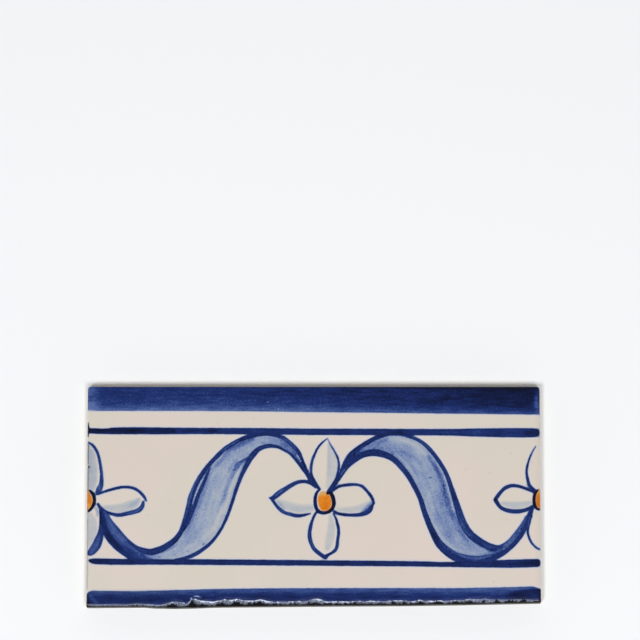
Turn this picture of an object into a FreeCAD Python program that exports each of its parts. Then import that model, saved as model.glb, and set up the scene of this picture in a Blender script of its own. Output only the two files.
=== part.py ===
"""A hand-painted border tile: half of a six-inch pressed wall tile, sawn along its front edge.

The tile lies on its keyed back with the decorated face up.  X runs along the border, Y across it
towards the pressed long edge, Z up.  The origin is at the middle of its footprint, on the back.
"""
import FreeCAD
import Part
import Sketcher
import os

OUTPUT_FOLDER = "parts"
TILE_LABEL = "border_tile"
TOLERANCE = 1e-4
LINE_START, LINE_END, ARC_CENTRE = range(1, 4)
ORIGIN, Y_AXIS = range(-1, -3, -1)

# Driving dimensions in millimetres, or degrees where the name says angle.
SIZES = {
    "tile_length": 152.0,        # six inches, along the border
    "left_width": 74.4,          # pressed edge to sawn edge at the left end
    "saw_skew": 1.5,             # how far the sawn edge runs in by the right end
    "tile_thickness": 8.0,
    "face_edge_radius": 0.7,     # roll of the glaze over the three pressed edges
    "corner_ease": 0.4,          # how much rounder the pressed corners are in plan than that roll
    "back_edge_chamfer": 0.5,    # fettled edge round the back
    "saw_edge_bevel": 0.7,       # glaze lost all along the sawn edge
    "key_width": 8.0,            # keying recesses in the back, rounded at their ends
    "key_depth": 0.9,
    "key_pitch": 13.4,
    "key_draft_angle": 20.0,
    "key_end_margin": 9.0,       # from a recess to the end of the tile
    "key_edge_margin": 5.5,      # from the outer recesses to the long edges, at least
}

# Shell-shaped chips along the sawn edge.  Each has its station on the edge, from 0 at the left end
# to 1 at the right, its length along the edge, and its reach into the face and down the side.
CHIPS = {
    "chip_a": (0.197, 8.5, 1.5),
    "chip_b": (0.239, 5.0, 2.1),
    "chip_c": (0.287, 8.5, 1.8),
    "chip_d": (0.334, 6.5, 1.7),
    "chip_e": (0.382, 8.0, 2.1),
    "chip_f": (0.435, 7.0, 1.6),
    "chip_g": (0.505, 7.5, 2.0),
    "chip_h": (0.591, 7.0, 1.2),
    "chip_i": (0.663, 9.0, 1.4),
    "chip_j": (0.729, 7.0, 1.7),
    "chip_k": (0.780, 7.0, 1.3),
    "chip_l": (0.835, 8.0, 1.5),
    "chip_m": (0.909, 8.0, 1.3),
}


def make_sizes(doc):
    """The spreadsheet that every feature reads."""
    sheet = doc.addObject("Spreadsheet::Sheet", "sizes")
    rows = dict(SIZES)
    for chip, (station, length, reach) in CHIPS.items():
        rows[chip + "_station"] = station
        rows[chip + "_length"] = length
        rows[chip + "_reach"] = reach
    for row, (alias, value) in enumerate(rows.items(), start=1):
        sheet.set(f"A{row}", alias)
        sheet.set(f"B{row}", str(value))
        sheet.setAlias(f"B{row}", alias)
    doc.recompute()


def new_sketch(body, name):
    """An empty sketch on the plane of the tile's back."""
    sketch = body.newObject("Sketcher::SketchObject", name)
    plane = next(feature for feature in body.Origin.OriginFeatures if feature.Role == "XY_Plane")
    sketch.AttachmentSupport = [(plane, "")]
    sketch.MapMode = "FlatFace"
    return sketch


def dimension(sketch, name, expression, *where):
    """Adds a dimension between the given places and binds it to the sheet."""
    value = float(sketch.evalExpression(expression))
    index = sketch.addConstraint(Sketcher.Constraint(*where, value))
    sketch.renameConstraint(index, name)
    sketch.setExpression("Constraints." + name, expression)


def relate(sketch, *where):
    sketch.addConstraint(Sketcher.Constraint(*where))


def chosen_edges(feature, wanted):
    """The names of the feature's edges whose bounding box passes the test."""
    feature.Document.recompute()
    edges = enumerate(feature.Shape.Edges, start=1)
    return [f"Edge{number}" for number, edge in edges if wanted(edge.BoundBox)]


def add_blank(body):
    """The tile's outline, square at three sides and skewed where it was sawn, raised to its thickness."""
    sketch = new_sketch(body, "outline")
    half_length = SIZES["tile_length"] / 2
    half_width = SIZES["left_width"] / 2
    corners = [
        FreeCAD.Vector(-half_length, half_width),
        FreeCAD.Vector(half_length, half_width),
        FreeCAD.Vector(half_length, SIZES["saw_skew"] - half_width),
        FreeCAD.Vector(-half_length, -half_width),
    ]
    sides = []
    for start, end in zip(corners, corners[1:] + corners[:1]):
        sides.append(sketch.addGeometry(Part.LineSegment(start, end), False))
    for side, following in zip(sides, sides[1:] + sides[:1]):
        relate(sketch, "Coincident", side, LINE_END, following, LINE_START)
    pressed_edge, right_end, _, left_end = sides
    relate(sketch, "Vertical", right_end)
    relate(sketch, "Vertical", left_end)
    relate(sketch, "Symmetric", pressed_edge, LINE_START, pressed_edge, LINE_END, Y_AXIS)
    dimension(sketch, "length", "sizes.tile_length",
              "DistanceX", pressed_edge, LINE_START, pressed_edge, LINE_END)
    dimension(sketch, "left", "sizes.left_width",
              "DistanceY", left_end, LINE_START, left_end, LINE_END)
    dimension(sketch, "right", "sizes.left_width - sizes.saw_skew",
              "DistanceY", right_end, LINE_END, right_end, LINE_START)
    dimension(sketch, "centring", "sizes.left_width / 2",
              "DistanceY", ORIGIN, LINE_START, pressed_edge, LINE_START)
    blank = body.newObject("PartDesign::Pad", "blank")
    blank.Profile = sketch
    blank.setExpression("Length", "sizes.tile_thickness")
    return blank


def add_saw_bevel(body, blank):
    """The thin bevel where the glaze broke away all along the saw cut."""
    top_z = SIZES["tile_thickness"] - TOLERANCE
    bevel = body.newObject("PartDesign::Chamfer", "saw_bevel")
    bevel.Base = (blank, chosen_edges(blank, lambda box: box.ZMin > top_z and box.YMax < 0))
    bevel.setExpression("Size", "sizes.saw_edge_bevel")
    return bevel


def add_pressed_edges(body, tile):
    """Rounds the two pressed corners, rolls the face over the pressed edges and eases the back."""
    pressed_y = SIZES["left_width"] / 2 - TOLERANCE
    top_z = SIZES["tile_thickness"] - TOLERANCE
    corners = body.newObject("PartDesign::Fillet", "pressed_corners")
    corners.Base = (tile, chosen_edges(tile, lambda box: box.YMin > pressed_y and box.ZLength > TOLERANCE))
    corners.setExpression("Radius", "sizes.face_edge_radius + sizes.corner_ease")
    roll = body.newObject("PartDesign::Fillet", "face_roll")
    roll.Base = (corners, chosen_edges(corners, lambda box: box.ZMin > top_z and box.YMax > 0))
    roll.setExpression("Radius", "sizes.face_edge_radius")
    easing = body.newObject("PartDesign::Chamfer", "back_easing")
    easing.Base = (roll, chosen_edges(roll, lambda box: box.ZMax < TOLERANCE and box.YMax > 0))
    easing.setExpression("Size", "sizes.back_edge_chamfer")


def add_keys(body):
    """Long drafted recesses in the back, as many as the width takes, that the bedding grips."""
    sketch = new_sketch(body, "key_outline")
    radius = SIZES["key_width"] / 2
    reach = SIZES["tile_length"] / 2 - SIZES["key_end_margin"] - radius
    middle = SIZES["left_width"] / 2 - SIZES["key_edge_margin"] - radius
    right_centre = FreeCAD.Vector(reach, middle)
    left_centre = FreeCAD.Vector(-reach, middle)
    across = FreeCAD.Vector(0, radius)
    outward = FreeCAD.Vector(radius, 0)
    near_side = sketch.addGeometry(Part.LineSegment(left_centre - across, right_centre - across), False)
    right_round = sketch.addGeometry(
        Part.Arc(right_centre - across, right_centre + outward, right_centre + across), False)
    far_side = sketch.addGeometry(Part.LineSegment(right_centre + across, left_centre + across), False)
    left_round = sketch.addGeometry(
        Part.Arc(left_centre + across, left_centre - outward, left_centre - across), False)
    outline = [near_side, right_round, far_side, left_round]
    for piece, following in zip(outline, outline[1:] + outline[:1]):
        relate(sketch, "Tangent", piece, LINE_END, following, LINE_START)
    relate(sketch, "Symmetric", right_round, ARC_CENTRE, left_round, ARC_CENTRE, Y_AXIS)
    dimension(sketch, "end_radius", "sizes.key_width / 2", "Radius", right_round)
    dimension(sketch, "reach", "sizes.tile_length - 2 * sizes.key_end_margin - sizes.key_width",
              "DistanceX", left_round, ARC_CENTRE, right_round, ARC_CENTRE)
    dimension(sketch, "middle", "sizes.left_width / 2 - sizes.key_edge_margin - sizes.key_width / 2",
              "DistanceY", ORIGIN, LINE_START, right_round, ARC_CENTRE)
    key = body.newObject("PartDesign::Pocket", "key")
    key.Profile = sketch
    key.Reversed = True
    key.setExpression("Length", "sizes.key_depth")
    key.setExpression("TaperAngle", "-sizes.key_draft_angle")
    key.Document.recompute()
    keys = body.newObject("PartDesign::LinearPattern", "keys")
    keys.Originals = [key]
    keys.Direction = (sketch, ["V_Axis"])
    keys.Reversed = True
    keys.Mode = "Spacing"
    keys.setExpression("Offset", "sizes.key_pitch")
    room = "sizes.left_width - sizes.saw_skew - 2 * sizes.key_edge_margin - sizes.key_width"
    keys.setExpression("Occurrences", f"floor(({room}) / sizes.key_pitch) + 1")
    body.Tip = keys
    return key


def add_chip(body, name):
    """A scoop of a ball that meets the arris over the chip's length and both faces at its reach."""
    half = f"sizes.{name}_length / 2"
    reach = f"sizes.{name}_reach"
    station = f"sizes.{name}_station"
    standoff = f"((({half})^2 - {reach}^2) / (2 * {reach}))"
    chip = body.newObject("PartDesign::SubtractiveSphere", name)
    chip.setExpression("Radius", f"sqrt(({half})^2 + 2 * {standoff}^2)")
    chip.setExpression("Placement.Base.x", f"({station} - 0.5) * sizes.tile_length")
    chip.setExpression("Placement.Base.y", f"{station} * sizes.saw_skew - sizes.left_width / 2 - {standoff}")
    chip.setExpression("Placement.Base.z", f"sizes.tile_thickness + {standoff}")
    chip.Document.recompute()
    return chip


def check_document(doc, tile, key):
    """Stops if anything failed to build, or the first recess points away from the tile."""
    for thing in doc.Objects:
        if "Invalid" in thing.State or "Error" in thing.State:
            raise RuntimeError(f"{thing.Name} failed to build: {thing.State}")
    if tile.Shape.isNull() or not tile.Shape.isValid() or len(tile.Shape.Solids) != 1:
        raise RuntimeError("the tile is not one valid solid")
    if not key.Shape.Volume < key.BaseFeature.Shape.Volume:
        raise RuntimeError("the keying recesses cut nothing")


def main():
    doc = FreeCAD.newDocument("border_tile")
    make_sizes(doc)
    tile = doc.addObject("PartDesign::Body", "tile")
    tile.Label = TILE_LABEL
    blank = add_blank(tile)
    bevelled = add_saw_bevel(tile, blank)
    add_pressed_edges(tile, bevelled)
    key = add_keys(tile)
    for name in CHIPS:
        tile.Tip = add_chip(tile, name)
    doc.recompute()
    check_document(doc, tile, key)
    os.makedirs(OUTPUT_FOLDER, exist_ok=True)
    tile.Shape.exportStep(f"{OUTPUT_FOLDER}/{tile.Label}.step")
    box = tile.Shape.optimalBoundingBox()
    print(f"{tile.Label}: {box.XLength:.2f} x {box.YLength:.2f} x {box.ZLength:.2f} mm, "
          f"{tile.Shape.Volume / 1000:.2f} cm3")


main()
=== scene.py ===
"""The looks of the border tile: its hand-painted glaze, chipped edge and biscuit, in one closed mesh.

Lengths are millimetres until the mesh is made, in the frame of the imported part: X along the border,
Y across it towards the pressed long edge, Z up from the keyed back. Lamps and floor are in metres.
"""
import math

import bpy
import numpy as np
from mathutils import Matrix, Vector, noise
from mathutils.geometry import delaunay_2d_cdt


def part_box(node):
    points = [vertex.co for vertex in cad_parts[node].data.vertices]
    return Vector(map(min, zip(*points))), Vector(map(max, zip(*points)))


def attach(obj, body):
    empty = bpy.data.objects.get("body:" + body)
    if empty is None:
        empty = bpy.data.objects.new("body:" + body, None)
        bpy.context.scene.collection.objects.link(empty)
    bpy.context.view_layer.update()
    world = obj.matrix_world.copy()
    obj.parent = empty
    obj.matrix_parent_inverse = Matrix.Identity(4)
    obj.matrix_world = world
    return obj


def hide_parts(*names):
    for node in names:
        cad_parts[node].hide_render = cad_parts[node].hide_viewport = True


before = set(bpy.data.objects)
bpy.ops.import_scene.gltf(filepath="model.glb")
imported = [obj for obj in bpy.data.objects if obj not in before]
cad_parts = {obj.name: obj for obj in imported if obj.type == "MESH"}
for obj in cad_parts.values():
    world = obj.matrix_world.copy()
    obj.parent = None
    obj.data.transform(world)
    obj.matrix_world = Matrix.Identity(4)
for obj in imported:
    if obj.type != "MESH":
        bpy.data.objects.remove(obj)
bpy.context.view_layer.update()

MM = 0.001
TINY = 1e-9                  # keeps a division away from zero
WELD = 1e-7                  # points closer than this are one
TILE_LOW, TILE_HIGH = (np.array(corner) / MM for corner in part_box("border_tile"))
HALF_LENGTH = TILE_HIGH[0]
FAR_EDGE = TILE_HIGH[1]
NEAR_EDGE = TILE_LOW[1]
THICKNESS = TILE_HIGH[2]
SAW_SKEW = 1.5               # how far the sawn edge runs in by the right end

# The tile's edges and back.
CORNER_RADIUS = 1.1
FACE_ROLL = 0.7
BACK_ROLL = 0.5
KEY_WIDTH, KEY_DEPTH, KEY_PITCH, KEY_COUNT = 8.0, 0.9, 13.4, 5
KEY_DRAFT = KEY_DEPTH * math.tan(math.radians(20.0))
KEY_END_MARGIN, KEY_EDGE_MARGIN = 9.0, 5.5
ROUND_POINTS = 13            # points on the rounded end of a keying recess

# The mesh: spacing over the face, finer by the sawn edge, and the steps over a rolled edge.
GRID = 0.42
SAW_GRID, SAW_GRID_REACH = 0.22, 3.6
EDGE_STEPS = (0.0, 0.12, 0.28, 0.48, 0.75, 1.1)
WALL_DEPTHS = EDGE_STEPS + (1.4, 1.7, 2.05, 2.5, 3.2, 4.2, 5.5, 7.0, 7.5, 7.7, 7.86, 8.0)

# The relief of the glaze.
GLAZE_DIP = 0.0345           # the face lies this far under the box, which leaves room for its waves
WAVE_HEIGHT = 0.0115
STROKE_HEIGHT = 0.0069       # how far the pigment of the dark lines stands up under the glaze
STROKE_EDGE = (-0.3, 0.5)    # where a line starts to rise and is fully up, inward from its edge
EDGE_FADE = 2.0              # sets how the relief fades towards a pressed edge
GLAZE_RUN = 2.4              # how far down the pressed sides a run of glaze may reach

# The broken arris of the sawn edge, as points (x, y where the glaze ends, y where its snapped rim ends).
BREAK = [
    (-76.5, -36.4, -36.75), (-72, -36.4, -36.7), (-63, -36.3, -36.65), (-60, -36, -36.6),
    (-59, -35.8, -36.35), (-57.5, -35.9, -36.65), (-53, -36.2, -36.85), (-51, -36.35, -36.85),
    (-49.6, -35.9, -36.8), (-48.5, -35.5, -36.1), (-46.5, -35.1, -36.3), (-44, -35.3, -36.6),
    (-42.3, -36, -36.5), (-41.5, -35.4, -36), (-41, -34.3, -35.2), (-39.5, -34.2, -35.4),
    (-38, -34.8, -36.1), (-35, -35, -36.2), (-33.3, -35.2, -36.3), (-31.5, -34.7, -35.7),
    (-29.8, -34.3, -35.35), (-28.3, -34.5, -36.1), (-27.2, -34.55, -35.75), (-25.6, -34.2, -35),
    (-24, -34.6, -35.8), (-21.5, -34.8, -36.05), (-19.5, -34.75, -35.5), (-17.8, -34.4, -35.3),
    (-15.8, -34.85, -36.1), (-13.5, -35.2, -36.15), (-11, -35.15, -35.9), (-8, -35.1, -36.1),
    (-5, -35, -35.9), (-2.2, -34.85, -36), (-0.6, -34.3, -35.4), (1.2, -34.1, -35.4), (2.6, -34.45, -35.95),
    (4.5, -35.2, -36), (7.5, -35.1, -35.8), (11, -35.2, -35.85), (15, -34.9, -35.5), (17, -35.1, -35.9),
    (19, -34.9, -35.6), (22, -35, -35.85), (26, -34.9, -35.7), (29.5, -34.7, -35.5), (33.2, -35.15, -35.9),
    (35.3, -34.7, -35.1), (37.2, -34.85, -35.9), (41, -34.9, -35.5), (43, -34.8, -35.75),
    (46.5, -34.75, -35.8), (48.5, -34.55, -35.35), (50, -34.6, -35.6), (52.3, -34.15, -35.1),
    (54.5, -34.25, -35.6), (57.2, -34.1, -35.6), (60, -34.4, -35.4), (62, -34.4, -35.3), (64, -34.5, -35.5),
    (67, -34.35, -35.25), (69, -34.25, -35.15), (71, -34.35, -35.3), (73, -34.5, -35.2),
    (76.5, -34.55, -35.2),
]
# How far the sawn edge strays from a straight line, as points (x, inward).
SAW_WANDER = [
    (-76, 0.28), (-57, 0.24), (-53, -0.1), (-47, -0.27), (-40, -0.2), (-33, 0), (0, 0), (30, -0.1), (50, 0),
    (76, 0.28),
]
# Noise on where the glaze and the rim end and over the scoops, as rows of (height, fineness, layer).
GLAZE_END_NOISE = [(0.14, 1.3, 0), (0.10, 3.1, 0)]
RIM_END_NOISE = [(0.14, 0.9, 9)]
SCOOP_NOISE = [(1.0, 1.7, 5), (0.5, 4.3, 0)]
BREAK_MARGIN = 1.0           # how far past the drawn break its noise is worked out
LEAST_RIM, LEAST_SCOOP = 0.15, 0.1    # least widths of the snapped rim and of the scoops
RIM_DROP, RIM_BEND = 0.28, 0.8        # how far the snapped rim of the glaze falls, and the power of its curve
BREAK_DROP, BREAK_SLOPE = 0.3, 0.62   # fall of the break at the wall: least, and share of its width
BREAK_ROUGHNESS = 0.12
LEAST_DROP = 0.02
SOUND = -1.0                 # how far across the break sound glaze counts as lying

# The camera: its aim on the face's plane, its distance, and its lean off the vertical.
AIM = (2.1, 59.7)
CAMERA_DISTANCE = 1500.0
CAMERA_LEAN = math.radians(7.9)
FOCAL_PIXELS = 4451.0
FRAME_PIXELS = 640
SENSOR = 36.0

# The setting, in metres: lamps, light levels of the sky from the horizon up, and the floor.
LAMP_SETBACK, LAMP_HEIGHT = -0.55, 2.0
SKY = [(0.0, 0.95), (0.12, 0.9), (0.35, 0.62), (0.6, 0.3), (0.85, 0.04)]
FLOOR_REACH = 30.0
FLOOR_FADE = (0.20, 0.60)    # distances over which the floor turns from lit to plain
FLOOR_TONE = (243, 245, 247)
LIGHT_LEVEL = 0.995          # light that falls on the floor, where 1 shows a colour as written

# Brush strokes on the face: load of pigment, then points (x, y, width) along the stroke.
STROKES = {
    # The two lines along the border.
    "upper_line": (0.92, [
        (-75.4, 22.15, 1.9), (-72, 22, 1.9), (-69, 22, 2), (-67, 22.12, 2.35), (-60, 22.15, 2.45),
        (-50, 22.1, 2.35), (-40, 22.08, 2.2), (-20, 22, 2.2), (0, 21.8, 2.2), (20, 21.75, 2.2),
        (40, 21.65, 2.25), (48, 21.6, 2.4), (55, 21.55, 2.85), (65, 21.48, 3.15), (73.8, 21.47, 3.1),
        (74.7, 21.45, 2.4)]),
    "upper_line_start": (1.22, [(-76, 24.5, 0.3), (-75.8, 22.6, 1.1), (-76, 20.6, 0.4)]),
    "lower_line": (0.94, [
        (-75, -21.5, 0.9), (-74, -21.7, 1.7), (-72, -21.8, 2), (-65, -21.95, 2.05), (-50, -22, 1.9),
        (-30, -22.1, 1.95), (30, -22.6, 1.85), (45, -22.85, 1.75), (65, -22.6, 2.75), (74.7, -22.35, 2.8)]),
    "lower_line_end": (0.95, [(75.1, -21.5, 0.9), (75.1, -23, 0.9)]),
    # The ribbon on the left, from the half flower down, up over its crest and down to the whole flower.
    "left_tail": (0.76, [
        (-70.4, -5.5, 2.2), (-69.2, -8.6, 3.6), (-67.2, -12.2, 4.2), (-64.4, -15.6, 4.2), (-61.4, -18.3, 4),
        (-58.6, -20, 3.2), (-56.2, -21.1, 1.8), (-53, -21.6, 0.9)]),
    "left_tail_outer": (0.95, [
        (-71, -4.6, 1.2), (-70.7, -7, 1.9), (-70.1, -10, 2.4), (-68.7, -13.2, 2.7), (-66.1, -16.3, 2.8),
        (-63, -18.8, 2.7), (-59.8, -20.9, 2.3), (-56, -21.9, 1.8)]),
    "left_outer": (0.92, [
        (-68, -7.6, 0.3), (-65.6, -10.9, 0.9), (-62.4, -14.7, 1.2), (-59.2, -17.3, 1.6),
        (-55.2, -18.6, 2.1), (-52.5, -18.2, 2.3), (-50, -17.1, 2.1), (-46.8, -14.9, 1.9),
        (-44.8, -12.4, 1.6), (-43.8, -10, 1.6), (-43, -7.5, 1.6), (-41.8, -3, 1.8), (-41.1, 0, 1.8),
        (-39, 5, 1.6), (-35.7, 10, 1.5), (-31, 15, 1.5), (-28.4, 17, 1.5), (-25.2, 18.9, 1.4),
        (-22.4, 20, 1.5), (-20, 20.6, 1.4), (-17, 21, 1.1)]),
    "left_second": (0.88, [
        (-44.4, -12.6, 0.5), (-42.5, -9.4, 1.1), (-40.6, -4.7, 1.4), (-39.7, -2.5, 1.4), (-38.9, 0, 1.3),
        (-36.7, 5, 1.1), (-35.7, 7.5, 0.9), (-34.8, 9.6, 0.6)]),
    "left_inner": (0.9, [
        (-46.5, -21.2, 0.6), (-44.2, -20.9, 1), (-40, -19.6, 1.4), (-35.3, -16.4, 1.15), (-31.9, -12.4, 1),
        (-29.3, -7.5, 1.1), (-27.5, -2.5, 1.1), (-25.9, 2.5, 1.2), (-24, 7.5, 1.4), (-21.5, 12.4, 1.8),
        (-20.2, 14.2, 1.9), (-18.8, 15.7, 1.7), (-17, 16.6, 1.5), (-15.1, 17, 1.4), (-13.2, 16.9, 1.2),
        (-11.4, 16.3, 0.9), (-8, 14.4, 0.9), (-5.5, 11.7, 1.1), (-3.5, 9, 1.1), (-2.5, 7.8, 1.2),
        (-1.6, 6.5, 1.4), (-0.8, 5.1, 1.3)]),
    "left_spur": (0.74, [(-26.7, 9.9, 0.3), (-25.9, 10.9, 0.45), (-24.6, 11.7, 0.6), (-22, 13, 1)]),
    "left_crest": (0.9, [
        (-17, 21, 1.1), (-14.5, 20.95, 1.2), (-12.3, 20.5, 1.3), (-10.6, 19.9, 1.4), (-9.1, 19, 1.4),
        (-6, 16.2, 1.3), (-4.9, 14.6, 1.3), (-3.2, 10.6, 1.1), (-1.2, 6, 1.2)]),
    # The ribbon on the right, from the whole flower up, over its crest and down to the half flower.
    "right_outer": (0.93, [
        (7.6, 4.2, 0.8), (8.3, 6.1, 1.1), (9.5, 8.5, 1.5), (10.8, 11, 2.2), (12.1, 13.2, 2.4),
        (13.6, 14.9, 2.1), (17.1, 17.65, 1.6), (21.2, 19.9, 1.5), (25, 20.95, 1.1), (27, 21.1, 1.2)]),
    "right_inner": (0.91, [
        (8.2, 5.1, 0.7), (9.5, 7.4, 1), (11.2, 10.1, 1.7), (13.3, 12.2, 2.2), (15.6, 13.65, 2.2),
        (17.7, 14.4, 2.2), (20.1, 14.75, 2.4), (22.4, 14.45, 2.4), (24.4, 13.85, 2.2), (26.2, 12.9, 2),
        (28, 11.4, 1.9), (31.2, 7.7, 1.8), (33.7, 3.5, 1.7), (35.8, -1, 1.7), (37, -5, 1.8), (39, -10.2, 2),
        (41.4, -15, 2.5), (43.1, -17.1, 2.8), (45, -18.7, 3), (47, -20, 3.1), (49.6, -20.9, 3.2),
        (53, -21.4, 3), (56, -21.4, 3), (58.6, -20.8, 2.8), (60.8, -20.1, 2.4), (64.1, -18.4, 1.9),
        (67.6, -15.2, 1.8), (70.2, -11.5, 1.7), (72.3, -5.8, 1.3), (73, -4, 1.1)]),
    "right_crest": (0.88, [
        (27, 21.1, 1.2), (29.5, 20.95, 1.2), (33.5, 19.75, 1.2), (37, 17.8, 1.3), (39.8, 14.9, 1.4),
        (42.6, 11, 1.4), (44.7, 7.1, 1.4), (46.3, 2.5, 1.6), (49.2, -6.7, 2.4), (50.2, -9.2, 2.5),
        (51.4, -11.4, 2.6), (52.8, -13.1, 2.6), (54.7, -14.6, 2.6), (56.8, -15.9, 2.5), (59, -16.9, 2.3),
        (61.2, -17.3, 2), (62.8, -16.9, 1.6), (65.4, -14.8, 0.9), (68.7, -11.2, 0.8), (70.2, -9.2, 0.8),
        (71.3, -7.3, 0.8), (72, -5.8, 0.9), (72.9, -4.2, 0.9)]),
    "right_tail": (0.73, [
        (56, -20.6, 0.5), (58.5, -20.1, 1), (61, -19.2, 1.6), (63, -18, 2), (66.6, -14.5, 2.3),
        (69.8, -10, 1.8), (71.3, -7, 1.3)]),
    # The whole flower: two outlines to each petal, then the ring round its middle.
    "top_petal_left": (0.91, [
        (4.6, 19.6, 0.3), (2.4, 17.7, 0.7), (1.2, 16.1, 0.8), (0.3, 14.3, 0.85), (-0.4, 12.4, 0.95),
        (-0.8, 10.6, 1), (-0.9, 8.4, 1), (-0.6, 6.8, 1.05), (0.2, 5, 1.25), (1.2, 3.3, 1.3),
        (2, 2.5, 0.8)]),
    "top_petal_right": (0.9, [
        (4.65, 19.5, 0.35), (5.4, 17.9, 0.5), (7.3, 14.6, 0.7), (8, 13.1, 0.75), (8.4, 11.4, 0.8),
        (8.4, 9.8, 0.85), (7.9, 6.8, 1.05), (7.3, 5.2, 1.25), (6.7, 3.9, 1.6), (6, 2.8, 1.6),
        (5.2, 1.9, 1.3), (4.5, 1.3, 0.8)]),
    "left_petal_upper": (0.89, [
        (-14.9, -0.5, 0.5), (-13.7, -0.5, 1.5), (-12.2, 0.6, 1.9), (-10.6, 1.8, 1.75), (-6.5, 4.3, 1.35),
        (-4.2, 5, 1.25), (-2.2, 4.9, 1.2), (-0.6, 4.2, 1.2), (0.6, 3.2, 1.1)]),
    "left_petal_lower": (0.9, [
        (-14.4, -0.7, 0.8), (-13.5, -1.7, 1), (-12.6, -3, 1.05), (-11.4, -4.3, 1.2), (-9.7, -5.4, 1.25),
        (-7.5, -6.1, 1.25), (-5.4, -6.5, 1.25), (-3.4, -6.3, 1), (-1.1, -5.75, 0.5)]),
    "right_petal_upper": (0.89, [
        (5.6, 1.6, 1.2), (8.1, 3.2, 1.1), (9.8, 3.7, 1.1), (12, 3.95, 1.1), (14.2, 4, 1), (16, 3.5, 1.1),
        (17.3, 2.4, 1.1), (19.3, -0.1, 1.1), (20.2, -2.3, 0.8)]),
    "right_petal_lower": (0.9, [
        (6.9, -5.1, 1), (8, -5.7, 1), (9.6, -6.05, 1.1), (11.8, -6.25, 1.1), (14.3, -6.25, 1.2),
        (16.4, -5.9, 1.5), (17.9, -5.2, 1.9), (18.9, -4.3, 1.7), (19.9, -2.6, 0.7)]),
    "bottom_petal_left": (0.89, [
        (1, -5.2, 0.8), (0.2, -6.4, 0.9), (-0.3, -7.6, 0.9), (-0.9, -9.5, 1.15), (-1.3, -11.5, 1.3),
        (-1.4, -13, 1.35), (-1.2, -14.6, 1.4), (-0.6, -16.3, 1.3), (0.4, -17.9, 1.4), (3, -20, 1.4),
        (4, -20.5, 1.4)]),
    "bottom_petal_right": (0.89, [
        (6.6, -5.8, 0.7), (7.4, -7.4, 0.8), (7.9, -9, 1), (8.3, -11, 1.05), (8.3, -12.8, 1.1),
        (8, -14.8, 1.1), (7.8, -16.6, 1.2), (7.3, -17.9, 1.2), (6.3, -18.8, 1), (5.1, -19.5, 1),
        (4.3, -20, 1.3)]),
    "middle_ring_left": (1, [
        (2.1, 2.4, 0.7), (1.1, 1.4, 0.9), (0.55, -0.2, 1.1), (0.5, -2.2, 1.2), (0.9, -4, 1.2),
        (1.8, -5.1, 1.2), (3, -5.5, 1.2), (4.2, -5.4, 1.2)]),
    "middle_ring_right": (1.24, [
        (4.2, -5.4, 1.2), (5.4, -4.9, 1.2), (6.3, -3.9, 1.2), (6.7, -2.6, 1.3), (6.6, -1.2, 1.3),
        (6.2, 0.2, 1.3), (5.5, 1.2, 1.2), (4.5, 1, 0.9)]),
    # The half flower at the left end.
    "left_flower_top": (0.86, [
        (-75.7, 18.3, 0.5), (-74.4, 17.4, 0.95), (-73.3, 16.1, 0.95), (-72.5, 14.5, 1), (-71.9, 12.4, 1),
        (-71.2, 8.1, 1.15), (-71.2, 4.7, 1.5), (-71.5, 3.3, 1.8), (-72, 2.2, 2), (-72.6, 1.2, 1.3)]),
    "left_flower_petal_upper": (0.89, [
        (-72.5, 0.8, 0.9), (-69, 2, 0.95), (-65.3, 2.95, 1.05), (-63.4, 3.15, 1), (-61.6, 3.05, 1),
        (-60.2, 2.7, 1), (-58.8, 1.9, 1.05), (-57.6, 0.8, 1.1), (-56.6, -0.5, 0.95), (-56.1, -1.5, 0.6)]),
    "left_flower_petal_lower": (0.87, [
        (-72.3, -2.6, 1), (-71.4, -3.9, 1.2), (-70, -4.9, 1), (-68.5, -5.6, 1), (-66.8, -6.1, 1.2),
        (-65.1, -6.25, 1.35), (-63.3, -5.95, 1.4), (-59.7, -5.05, 1.5), (-58.3, -4.4, 1.7),
        (-57.5, -3.4, 1.4), (-57.2, -2.4, 1.1), (-57.2, -1.8, 0.7)]),
    "left_flower_bottom": (0.88, [
        (-71.4, -4.4, 1.2), (-71.15, -8, 1.3), (-71.15, -10.5, 1.6), (-71.3, -12.4, 2.2), (-72.3, -15.6, 3),
        (-73.2, -17.2, 2.9), (-74.2, -18.4, 2.6), (-74.9, -19, 2)]),
    "left_flower_ring": (1.27, [
        (-75.2, 2, 0.6), (-74.3, 1.2, 1.1), (-73.7, 0, 1.15), (-73.5, -1.3, 1.15), (-73.7, -2.5, 1.15),
        (-74.2, -3.5, 1.1), (-75, -4.5, 1), (-75.6, -5, 0.7)]),
    # The half flower at the right end.
    "right_flower_top": (0.92, [
        (74.5, 16.8, 0.35), (73.5, 15.2, 0.55), (72.6, 13.3, 0.65), (71.9, 11.3, 0.75), (71.5, 9.5, 0.85),
        (71.4, 7.7, 0.9), (72, 4.6, 1.1), (72.6, 3.4, 1.2), (74.2, 1.9, 1)]),
    "right_flower_petal_upper": (0.91, [
        (60.7, -1.1, 0.9), (61.2, -0.5, 1.3), (63, 1.8, 1.2), (64.4, 2.95, 1.3), (66.2, 3.6, 1.25),
        (68.4, 3.5, 1.15), (70.4, 2.9, 1.05), (73.9, 1.5, 1.1)]),
    "right_flower_petal_lower": (0.91, [
        (60.7, -1.2, 1), (61.3, -1.9, 1.4), (62, -3, 1.3), (63.1, -4, 1.3), (64.7, -4.65, 1.4),
        (66.5, -5, 1.5), (68.5, -5, 1.5), (70.4, -4.7, 1.4), (72, -4.1, 1.2), (73.4, -3.3, 1)]),
    "right_flower_bottom": (0.91, [
        (73.3, -4, 1), (72.2, -8, 1.3), (71.6, -11.8, 0.95), (72.6, -15, 0.8), (73.7, -16.5, 0.8),
        (74.8, -17.4, 0.75), (75.7, -17.8, 0.65)]),
    "right_flower_ring": (1.27, [
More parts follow.
